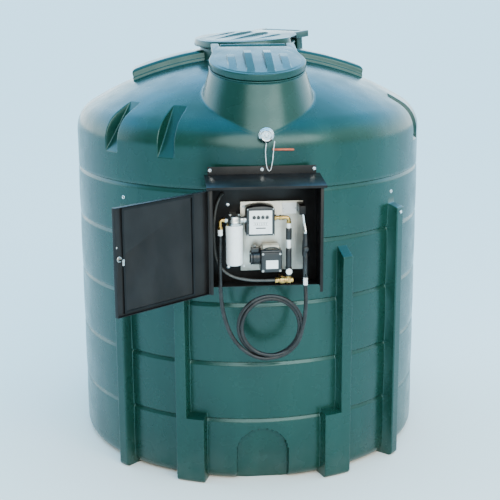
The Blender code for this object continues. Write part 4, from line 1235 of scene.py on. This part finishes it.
class TANK_OT_meter(bpy.types.Operator):
    """Flow meter: arched casing, white face, counter drums, figures and screws"""

    bl_idname = "tank.meter"
    bl_label = "Flow meter"

    def execute(self, context):
        outline = [(-0.127, 1.704), (0.047, 1.704), (0.047, 1.872), (0.030, 1.880), (-0.004, 1.887),
                   (-0.040, 1.889), (-0.076, 1.887), (-0.110, 1.880), (-0.127, 1.872)]
        middle, front_y, counter_z = -0.0395, -1.392, 1.818
        casing = extruded(outline, -1.2660, front_y, axis="Y")
        bevelled(casing, 0.006, 3, 50.0)
        for y in (-1.292, -1.312, -1.332, -1.352):
            boolean(casing, block((0.0470, y, 1.788), (0.006, 0.007, 0.110)), "DIFFERENCE")
            boolean(casing, block((-0.127, y, 1.745), (0.006, 0.007, 0.060)), "DIFFERENCE")
        boolean(casing, block((middle, front_y, 1.788), (0.142, 0.010, 0.148)), "DIFFERENCE")
        bevelled(casing, 0.0010, 1, 50.0)
        adopt("meter_casing", "casting", 40.0, replaces=["meter_body"])
        face = bevelled(block((middle, -1.3895, 1.788), (0.140, 0.005, 0.146)), 0.0018, 2, 40.0)
        boolean(face, block((middle, front_y, counter_z), (0.110, 0.0050, 0.036)), "DIFFERENCE")
        adopt("meter_dial", "white", 30.0, replaces=["meter_face"])
        dark = []
        drums = []
        for index, figure in enumerate("0285"):
            x = middle + (index - 1.5) * 0.0265
            drum = bar((x - 0.0108, -1.3870, counter_z), (x + 0.0108, -1.3870, counter_z), 0.0180, 32)
            boolean(drum, block((x, -1.3795, counter_z), (0.05, 0.0210, 0.05)), "DIFFERENCE")
            drum.data.transform(Matrix.Translation((0, 0.0135, 0)))
            drums.append(drum)
            dark.append(lettering(figure, (x, -1.3921, counter_z), 0.030, 0.0006))
        for index, figure in enumerate("001386"):
            x = middle + (index - 2.5) * 0.0135
            dark.append(lettering(figure, (x, -1.3922, 1.778), 0.0105, 0.0004))
        slot = block((middle, -1.3924, 1.752), (0.060, 0.0030, 0.0065))
        dark.append(bevelled(slot, 0.001, 2, 40.0))
        dark += [block((middle, -1.3921, z), (0.090, 0.0012, 0.0011)) for z in (1.787, 1.769)]
        join(drums)
        adopt("meter_drums", "grey", 30.0)
        join(dark)
        adopt("meter_figures", "casting")
        corners = [(x, -1.3915, z) for z in (1.7105, 1.8695) for x in (-0.1185, 0.0385)]
        join(screws_at(corners, (0, -1, 0), 0.0026, 0.0024))
        adopt("meter_screws", "zinc", 30.0)
        return {"FINISHED"}


def elbow_route(start, corner, end, radius):
    """Points of a pipe that turns once, with a round bend."""
    start, corner, end = Vector(start), Vector(corner), Vector(end)
    first = (start - corner).normalized()
    last = (end - corner).normalized()
    centre = corner + (first + last) * radius
    points = [start]
    for k in range(13):
        a = math.pi / 2 * k / 12
        points.append(centre - last * radius * math.cos(a) - first * radius * math.sin(a))
    return points + [end]


class TANK_OT_filter(bpy.types.Operator):
    """Filter head, spin-on canister, brass elbow and the hose's two ferrules"""

    bl_idname = "tank.filter"
    bl_label = "Filter"

    def execute(self, context):
        x, y, port_z = -0.200, -1.370, 1.803
        profile = [(0.0500, 1.7723), (0.0505, 1.774), (0.0505, 1.787), (0.047, 1.790), (0.044, 1.800),
                   (0.043, 1.820), (0.040, 1.828), (0.034, 1.8325), (0.020, 1.834)]
        head = lathed(profile, (x, y, 0.0), steps=40)
        for side, line in ((-1, [(0.020, 0.0), (0.020, 0.010), (0.0175, 0.012), (0.0175, 0.058)]),
                           (1, [(0.0195, 0.0), (0.0195, 0.052), (0.0175, 0.054), (0.0175, 0.0728)])):
            boolean(head, lathed(line, (x, y, port_z), (side, 0, 0), 28), "UNION")
        boolean(head, block((x, -1.288, port_z), (0.040, 0.126, 0.040)), "UNION")
        bevelled(head, 0.0016, 2, 45.0)
        nuts = [hex_nut((nx, y - 0.006, 1.826), (nx, y - 0.006, 1.842), 0.014)
                for nx in (x - 0.026, x + 0.026)]
        join([head, *nuts, hex_nut((-0.1455, y, port_z), (-0.1335, y, port_z), 0.040)])
        adopt("filter_head_casting", "zinc", 35.0, replaces=["filter_head"])
        profile = [(0.030, 0.0), (0.040, 0.001), (0.0465, 0.004), (0.0505, 0.010), (0.052, 0.018),
                   (0.052, 0.226), (0.0532, 0.230), (0.0536, 0.236), (0.0536, 0.243), (0.052, 0.248),
                   (0.049, 0.2518)]
        canister = lathed(profile, (x, y, 1.520), (0, 0, 1), 56)
        fluted(canister, (x, y, 1.505), (x, y, 1.548), 0.0595, 14, 0.0092)
        adopt("filter_spin_on", "white", 32.0, replaces=["filter_canister"])
        drop_x = -0.286
        route = elbow_route((-0.2564, y, port_z), (drop_x, y, port_z), (drop_x, y, 1.7456), 0.0155)
        join([as_mesh(swept(route, 0.0125, 24)),
              hex_nut((-0.2566, y, port_z), (-0.2665, y, port_z), 0.030),
              hex_nut((drop_x, y, 1.764), (drop_x, y, 1.7458), 0.030)])
        adopt("filter_elbow_brass", "brass", 32.0, replaces=["filter_elbow"])
        for node, place, top in (("hose_ferrule", (drop_x, y, 1.708), 1.7447),
                                 ("nozzle_ferrule", (0.238, -1.385, 1.385), 1.4317)):
            depth = top - place[2]
            rings = [(0.0140, 0.0), (0.0150, 0.0015)]
            for k in range(4):
                rings += [(0.0150, depth * (0.16 + 0.2 * k)), (0.0137, depth * (0.19 + 0.2 * k)),
                          (0.0137, depth * (0.23 + 0.2 * k)), (0.0150, depth * (0.26 + 0.2 * k))]
            lathed(rings + [(0.0150, depth - 0.001), (0.0140, depth)], place)
            adopt(node + "_ringed", "white", 40.0, replaces=[node])
        return {"FINISHED"}


class TANK_OT_pipework(bpy.types.Operator):
    """Outlet elbow, riser with its grips, manifold and valve knob"""

    bl_idname = "tank.pipework"
    bl_label = "Pipework"

    def execute(self, context):
        x, y = 0.137, -1.350
        route = elbow_route((0.0473, y, 1.807), (x, y, 1.807), (x, y, 1.7703), 0.018)
        join([as_mesh(swept(route, 0.0122, 24)),
              hex_nut((0.0475, y, 1.807), (0.060, y, 1.807), 0.034),
              hex_nut((0.078, y, 1.807), (0.090, y, 1.807), 0.030),
              lathed([(0.0145, 0.0), (0.0150, 0.001), (0.0150, 0.007), (0.0145, 0.008)],
                     (0.096, y, 1.807), (1, 0, 0), 28),
              hex_nut((x, y, 1.782), (x, y, 1.7705), 0.029)])
        adopt("outlet_elbow_brass", "brass", 32.0, replaces=["meter_outlet_elbow"])
        lathed([(0.0120, 1.436), (0.0120, 1.500), (0.0105, 1.500), (0.0105, 1.614), (0.0125, 1.615),
                (0.0138, 1.618), (0.0138, 1.664), (0.0125, 1.667), (0.0105, 1.668), (0.0105, 1.740),
                (0.0128, 1.741), (0.0128, 1.766), (0.0118, 1.7695)], (x, y, 0.0))
        adopt("riser_pipe", "white", 40.0, replaces=["outlet_riser"])
        grips = []
        for low, high in ((1.668, 1.739), (1.492, 1.612)):
            sleeve = turned([(0.0107, low), (0.0165, low), (0.0180, low + 0.002),
                             (0.0180, high - 0.002), (0.0165, high), (0.0107, high), (0.0107, low)],
                            (x, y, 0.0), steps=40)
            ends = (x, y, low + 0.008), (x, y, high - 0.008)
            grips.append(fluted(sleeve, *ends, 0.0195, 10, 0.0030, 12))
        join([*grips, hex_nut((x, y, 1.497), (x, y, 1.481), 0.038),
              hex_nut((x, y, 1.455), (x, y, 1.437), 0.033)])
        adopt("riser_grips", "casting", 38.0)
        z = 1.410
        body = [(0.0175, 0.0), (0.0175, 0.012), (0.0225, 0.014), (0.0240, 0.018), (0.0240, 0.040),
                (0.0225, 0.044), (0.0195, 0.046), (0.0195, 0.056), (0.0228, 0.058), (0.0228, 0.064),
                (0.019, 0.066)]
        plug = [(0.0165, 0.0), (0.0165, 0.012), (0.0150, 0.0155)]
        join([hex_nut((0.0521, y, z), (0.067, y, z), 0.036),
              lathed(body, (0.066, y, z), (1, 0, 0), 36),
              hex_nut((0.1305, y, z), (0.150, y, z), 0.042),
              lathed(plug, (0.150, y, z), (1, 0, 0), 28),
              bar((x, y, z), (x, y, 1.4358), 0.0145, 28),
              hex_nut((x, y, 1.4235), (x, y, 1.4357), 0.032),
              bevelled(block((0.0975, -1.287, 1.409), (0.025, 0.126, 0.022)), 0.002, 2, 40.0)])
        adopt("manifold_brass", "brass", 32.0, replaces=["manifold"])
        profile = [(0.0, 0.0), (0.0175, 0.0), (0.0195, 0.0015), (0.0200, 0.004), (0.0200, 0.010),
                   (0.0185, 0.0135), (0.0140, 0.0150), (0.0115, 0.0130), (0.0065, 0.0130),
                   (0.0055, 0.0165), (0.0, 0.0175)]
        knob = turned(profile, (x, y - 0.0130, 1.468), (0, -1, 0), 40)
        fluted(knob, (x, y - 0.010, 1.468), (x, y - 0.034, 1.468), 0.0235, 6, 0.0060, phase=0.0)
        adopt("knob_lobed", "white", 38.0, replaces=["valve_knob"])
        return {"FINISHED"}


class TANK_OT_pump(bpy.types.Operator):
    """Pump housing, cover, label and handle, with its finned motor"""

    bl_idname = "tank.pump"
    bl_label = "Pump"

    def execute(self, context):
        body = bevelled(block((0.026, -1.3290, 1.541), (0.132, 0.1260, 0.142)), 0.010, 3, 40.0)
        cover = bevelled(block((0.026, -1.3960, 1.537), (0.122, 0.010, 0.124)), 0.004, 3, 40.0)
        boolean(body, cover, "UNION")
        for z in (1.500, 1.520, 1.540, 1.560, 1.580):
            boolean(body, block((0.094, -1.330, z), (0.010, 0.090, 0.006)), "DIFFERENCE")
        bevelled(body, 0.0010, 1, 50.0)
        adopt("pump_casting", "casting", 38.0, replaces=["pump_body"])
        bevelled(block((0.028, -1.318, 1.620), (0.104, 0.070, 0.026)), 0.008, 3, 40.0)
        adopt("pump_cap", "cream", 38.0)
        bail = [(-0.024, -1.372, 1.600), (-0.018, -1.374, 1.612), (0.000, -1.376, 1.622),
                (0.028, -1.377, 1.6255), (0.056, -1.376, 1.622), (0.074, -1.374, 1.612),
                (0.080, -1.372, 1.600)]
        as_mesh(swept(curve_through(bail, 0.005), 0.0045))
        adopt("pump_handle", "casting", 40.0)
        bevelled(block((0.029, -1.4014, 1.5235), (0.074, 0.0016, 0.053)), 0.0006, 1, 40.0)
        adopt("pump_label", "white", 30.0)
        corners = [(x, -1.4010, z) for z in (1.484, 1.590) for x in (-0.027, 0.079)]
        bolts = screws_at(corners, (0, -1, 0), 0.0050, 0.005)
        corners = [(-0.1015, y, z) for y in (-1.360, -1.310) for z in (1.588, 1.524)]
        bolts += screws_at(corners, (-1, 0, 0), 0.0042, 0.004)
        bolts.append(hex_nut((-0.0720, -1.335, 1.622), (-0.0720, -1.335, 1.633), 0.016))
        join(bolts)
        adopt("pump_screws", "zinc", 30.0)
        fins = [(0.040, 0.0)]
        for k in range(5):
            base = 0.004 + 0.0085 * k
            fins += [(0.0415, base), (0.0480, base + 0.0008), (0.0480, base + 0.0035),
                     (0.0415, base + 0.0043)]
        fins += [(0.0430, 0.0480), (0.0445, 0.0500), (0.0440, 0.0590), (0.0370, 0.0635)]
        motor = lathed(fins, (-0.0404, -1.335, 1.556), (-1, 0, 0), 48)
        box = bevelled(block((-0.072, -1.335, 1.607), (0.048, 0.056, 0.030)), 0.004, 2, 40.0)
        boolean(motor, box, "UNION")
        adopt("motor_finned", "casting", 35.0, replaces=["pump_motor"])
        return {"FINISHED"}


class TANK_OT_nozzle(bpy.types.Operator):
    """Delivery nozzle with its guard, lever and spout, and the holder it hangs in"""

    bl_idname = "tank.nozzle"
    bl_label = "Nozzle"

    def execute(self, context):
        x, y = 0.238, -1.385
        grip = bevelled(block((x, y, 1.500), (0.034, 0.036, 0.136)), 0.012, 4, 40.0)
        chamber = lathed([(0.016, 0.0), (0.021, 0.010), (0.0235, 0.022), (0.0240, 0.080),
                          (0.0225, 0.100), (0.0185, 0.120), (0.0160, 0.140), (0.0160, 0.152),
                          (0.0145, 0.1535)], (x, y, 1.560), (0, 0, 1), 40)
        boolean(grip, chamber, "UNION")
        cap = turned([(0.0, 0.0), (0.017, 0.0), (0.017, 0.020), (0.0145, 0.025), (0.0, 0.026)],
                     (x, y - 0.010, 1.618), (0, -1, 0), 32)
        boolean(grip, cap, "UNION")
        bevelled(grip, 0.0015, 2, 50.0)
        guard_route = [(x, y - 0.014, 1.442), (x, y - 0.034, 1.446), (x, y - 0.048, 1.462),
                       (x, y - 0.052, 1.500), (x, y - 0.051, 1.545), (x, y - 0.046, 1.580),
                       (x, y - 0.032, 1.602), (x, y - 0.016, 1.610)]
        guard = as_mesh(swept(curve_through(guard_route, 0.005), 0.0052))
        join([grip, guard])
        adopt("nozzle_casting", "casting", 40.0, replaces=["nozzle_body"])
        lever_route = [(x, y - 0.018, 1.600), (x, y - 0.028, 1.588), (x, y - 0.035, 1.560),
                       (x, y - 0.036, 1.520), (x, y - 0.032, 1.480), (x, y - 0.026, 1.462)]
        as_mesh(swept(curve_through(lever_route, 0.005), 0.0048))
        adopt("nozzle_lever", "zinc", 40.0)
        foot, top = Vector((0.238, y, 1.7142)), Vector((0.217, y, 1.862))
        along = (top - foot).normalized()
        profile = [(0.0150, 0.0), (0.0150, 0.008), (0.0125, 0.011), (0.0110, 0.013), (0.0110, 0.140),
                   (0.0118, 0.142), (0.0118, 0.148), (0.0105, 0.1492), (0.0085, 0.1492),
                   (0.0085, 0.120)]
        lathed(profile, foot, along, 32)
        adopt("spout_tube", "bright", 38.0, replaces=["nozzle_spout"])
        worked_copy("nozzle_holder", 0.0016, "charcoal")
        return {"FINISHED"}


class TANK_OT_filling(bpy.types.Operator):
    """Filling pipe, its locking cap and the orange strip"""

    bl_idname = "tank.filling"
    bl_label = "Filling point"

    def execute(self, context):
        x, z = 0.010, 2.300
        worked_copy("fill_pipe", 0.0015, "zinc")
        profile = [(0.0, 0.0), (0.044, 0.0), (0.0475, 0.002), (0.0480, 0.004), (0.0480, 0.020),
                   (0.0460, 0.024), (0.0425, 0.026), (0.0415, 0.034), (0.0385, 0.040),
                   (0.0330, 0.043), (0.0290, 0.0415), (0.0265, 0.0395), (0.0140, 0.0395),
                   (0.0120, 0.0430), (0.0085, 0.0465), (0.0, 0.0475)]
        cap = turned(profile, (x, -1.2325, z), (0, -1, 0), 56)
        fluted(cap, (x, -1.230, z), (x, -1.262, z), 0.0500, 18, 0.0038, 12)
        adopt("cap_locking", "bright", 36.0, replaces=["fill_cap"])
        worked_copy("marker_strip", 0.0012, "orange")
        return {"FINISHED"}


def cord_object(name, route, radius, finish, nodes, sides=16, **terms):
    """A cord as a bevelled curve with one open spline."""
    cord = swept(route, radius, sides)
    only(cord)
    cord.name = name
    cord.data.materials.append(FINISH[finish])
    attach(cord, "tank")
    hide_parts(*nodes)
    return cord


class TANK_OT_hoses(bpy.types.Operator):
    """Delivery hose with its hanging coil, the suction hose and the cap's tether"""

    bl_idname = "tank.hoses"
    bl_label = "Hoses"

    def execute(self, context):
        radius = context.scene.tank_settings.hose_radius
        stations = [(-0.286, -1.370, 1.7075), (-0.2862, -1.3712, 1.680), (-0.288, -1.375, 1.620),
                    (-0.290, -1.382, 1.540), (-0.2905, -1.390, 1.440), (-0.288, -1.396, 1.350),
                    (-0.280, -1.399, 1.260), (-0.262, -1.401, 1.175), (-0.236, -1.402, 1.100),
                    (-0.196, -1.403, 1.030), (-0.140, -1.404, 0.972), (-0.068, -1.404, 0.930)]
        centre_x, centre_z = 0.017, 1.123
        radii = (0.203, 0.202, 0.201, 0.200, 0.199, 0.198, 0.198, 0.198, 0.198, 0.197, 0.195, 0.193,
                 0.191, 0.189, 0.187, 0.185, 0.183, 0.181, 0.179, 0.178, 0.178, 0.178, 0.178, 0.179,
                 0.181, 0.186)
        for step, reach in enumerate(radii):
            degrees = 30.0 * step if step < 25 else 745.0
            a = math.radians(degrees)
            depth = -1.404 + 0.020 * min(1.0, degrees / 360.0)
            if degrees > 480:
                depth = -1.384 - 0.026 * min(1.0, (degrees - 480) / 240.0)
            stations.append((centre_x + reach * math.sin(a), depth, centre_z - reach * math.cos(a)))
        stations += [(0.152, -1.4125, 0.996), (0.188, -1.414, 1.045), (0.214, -1.4145, 1.105),
                     (0.229, -1.413, 1.170), (0.236, -1.409, 1.235), (0.239, -1.400, 1.300),
                     (0.2385, -1.3895, 1.350), (0.238, -1.3855, 1.372), (0.238, -1.385, 1.3848)]
        cord_object("delivery_hose", curve_through(stations, 0.012), radius, "rubber",
                    ["hose_drop", "hose_coil", "hose_rise"], sides=20, far_end="object",
                    stiffness="stiff", lay="hanging")
        stations = [(-0.262, -1.2333, 1.940), (-0.264, -1.245, 1.940), (-0.277, -1.262, 1.928),
                    (-0.298, -1.272, 1.880), (-0.311, -1.280, 1.823), (-0.318, -1.290, 1.740),
                    (-0.318, -1.300, 1.640), (-0.308, -1.310, 1.550), (-0.268, -1.318, 1.475),
                    (-0.200, -1.330, 1.432), (-0.100, -1.342, 1.412), (0.000, -1.350, 1.410),
                    (0.038, -1.350, 1.410), (0.0518, -1.350, 1.410)]
        cord_object("suction_hose_tube", curve_through(stations, 0.022), 0.009, "grey",
                    ["suction_hose"], far_end="object", stiffness="medium", lay="taut")
        stations = [(0.010, -1.250, 2.2519), (0.009, -1.250, 2.238), (0.006, -1.250, 2.2217),
                    (0.005, -1.2495, 2.190), (0.007, -1.249, 2.155), (0.010, -1.248, 2.120),
                    (0.015, -1.248, 2.095), (0.021, -1.248, 2.082), (0.028, -1.248, 2.078),
                    (0.035, -1.248, 2.082), (0.040, -1.248, 2.095), (0.046, -1.248, 2.125),
                    (0.050, -1.248, 2.155), (0.053, -1.248, 2.185), (0.055, -1.248, 2.215),
                    (0.060, -1.246, 2.245), (0.061, -1.246, 2.262)]
        cord_object("tether_loop", curve_through(stations, 0.012), 0.0022, "bright_white",
                    ["cap_tether"], sides=12, far_end="object", stiffness="medium", lay="hanging")
        return {"FINISHED"}


# Stage: a pale floor, two soft lights, a soft sky and the camera

FLOOR_COLOUR = (0.95, 0.85, 0.75)
LIGHTS = (("key", (4.8, -8.5, 6.0), 4.5, 380.0, (1.0, 0.96, 0.88)),
          ("fill", (-0.5, -10.5, 6.0), 8.4, 900.0, (1.0, 0.98, 0.90)))
LIGHT_AIM = Vector((0, 0, 1.3))
# Colours of the sky to the left, to the right and behind, by height from 0.5 at the horizon to 1
ZENITH = (1.00, (0.23, 0.80, 1.38))
SKY = (((0.52, (0.10, 0.13, 0.13)), (0.80, (0.14, 0.22, 0.24)), (0.93, (0.26, 0.74, 1.20)), ZENITH),
       ((0.52, (0.42, 0.48, 0.46)), (0.76, (0.66, 0.84, 0.82)), (0.91, (0.26, 0.74, 1.18)), ZENITH),
       ((0.52, (1.25, 1.50, 1.60)), (0.64, (1.00, 1.45, 1.75)), (0.82, (0.32, 1.02, 1.80)),
        (0.90, (0.24, 0.52, 0.72)), ZENITH))
SKY_STRENGTH = 3.0
CAMERA_LENS = 82.5
CAMERA_PLACE = (-0.6848, -8.1551, 3.3179)
CAMERA_FORWARD = (0.0827, 0.9665, -0.2430)
CAMERA_RIGHT = (0.9962, -0.0867, -0.0058)


class TANK_OT_stage(bpy.types.Operator):
    """Floor, lights and camera"""

    bl_idname = "tank.stage"
    bl_label = "Stage"

    def execute(self, context):
        scene = context.scene
        deselect()
        bpy.ops.mesh.primitive_plane_add(size=240.0, location=(0, 0, -0.001))
        floor = context.object
        floor.name = "floor_stage"
        floor.data.materials.append(new_material("pale_floor", FLOOR_COLOUR, 0.9)[0])
        for name, place, size, power, colour in LIGHTS:
            data = bpy.data.lights.new(name, "AREA")
            data.shape = "DISK"
            data.size = size
            data.energy = power
            data.color = colour
            lamp = bpy.data.objects.new(name, data)
            lamp.location = place
            lamp.rotation_euler = (LIGHT_AIM - Vector(place)).to_track_quat("-Z", "Y").to_euler()
            scene.collection.objects.link(lamp)
        world = bpy.data.worlds.new("soft_white")
        world.use_nodes = True
        scene.world = world
        tree = world.node_tree
        coords = tree.nodes.new("ShaderNodeTexCoord")
        split = tree.nodes.new("ShaderNodeSeparateXYZ")
        tree.links.new(coords.outputs["Generated"], split.inputs[0])
        height = range_on(tree, split.outputs["Z"], -1.0, 1.0, 0.0, 1.0)
        shades = []
        for stops in SKY:
            shade = ramp_on(tree, height, stops[0][0], stops[-1][0], stops[0][1], stops[-1][1])
            for place, colour in stops[1:-1]:
                shade.node.color_ramp.elements.new(place).color = (*colour, 1.0)
            shades.append(shade)
        left_sky, right_sky, back_sky = shades
        across = range_on(tree, split.outputs["X"], -0.35, 0.0, 0.0, 1.0)
        behind = range_on(tree, split.outputs["Y"], -0.15, 0.25, 0.0, 1.0)
        shade = mix_on(tree, behind, mix_on(tree, across, left_sky, right_sky), back_sky)
        tree.links.new(shade, tree.nodes["Background"].inputs["Color"])
        tree.nodes["Background"].inputs["Strength"].default_value = SKY_STRENGTH
        data = bpy.data.cameras.new("camera")
        data.lens = CAMERA_LENS
        data.sensor_width = 36.0
        camera = bpy.data.objects.new("camera", data)
        scene.collection.objects.link(camera)
        forward = Vector(CAMERA_FORWARD).normalized()
        right = Vector(CAMERA_RIGHT)
        right = (right - forward * right.dot(forward)).normalized()
        turn = Matrix((right, right.cross(forward), -forward)).transposed()
        camera.matrix_world = Matrix.Translation(CAMERA_PLACE) @ turn.to_4x4()
        scene.camera = camera
        return {"FINISHED"}


class TANK_PT_panel(bpy.types.Panel):
    """Buttons that build the tank's pieces"""

    bl_idname = "TANK_PT_panel"
    bl_label = "Fuel tank"
    bl_space_type = "VIEW_3D"
    bl_region_type = "UI"
    bl_category = "Fuel tank"

    def draw(self, context):
        for prop in ("fillet", "edge", "neck_fillet", "hose_radius"):
            self.layout.prop(context.scene.tank_settings, prop)
        for prop in ("green", "charcoal", "enamel"):
            self.layout.prop(context.scene.tank_finishes, prop)
        for step in STEPS:
            self.layout.operator(step.bl_idname)


STEPS = (TANK_OT_stage, TANK_OT_hoses, TANK_OT_wall, TANK_OT_roof, TANK_OT_necks, TANK_OT_beams,
         TANK_OT_lids, TANK_OT_filling, TANK_OT_cabinet, TANK_OT_door, TANK_OT_plate, TANK_OT_meter,
         TANK_OT_filter, TANK_OT_pipework, TANK_OT_pump, TANK_OT_nozzle)
CLASSES = (TankSettings, TankFinishes) + STEPS + (TANK_PT_panel,)


def register():
    for cls in CLASSES:
        bpy.utils.register_class(cls)
    bpy.types.Scene.tank_settings = bpy.props.PointerProperty(type=TankSettings)
    bpy.types.Scene.tank_finishes = bpy.props.PointerProperty(type=TankFinishes)


def unregister():
    del bpy.types.Scene.tank_finishes
    del bpy.types.Scene.tank_settings
    for cls in reversed(CLASSES):
        bpy.utils.unregister_class(cls)


def main():
    """Build every piece in order."""
    register()
    make_finishes()
    for step in STEPS:
        group, name = step.bl_idname.split(".")
        getattr(getattr(bpy.ops, group), name)()


if __name__ == "__main__":
    main()
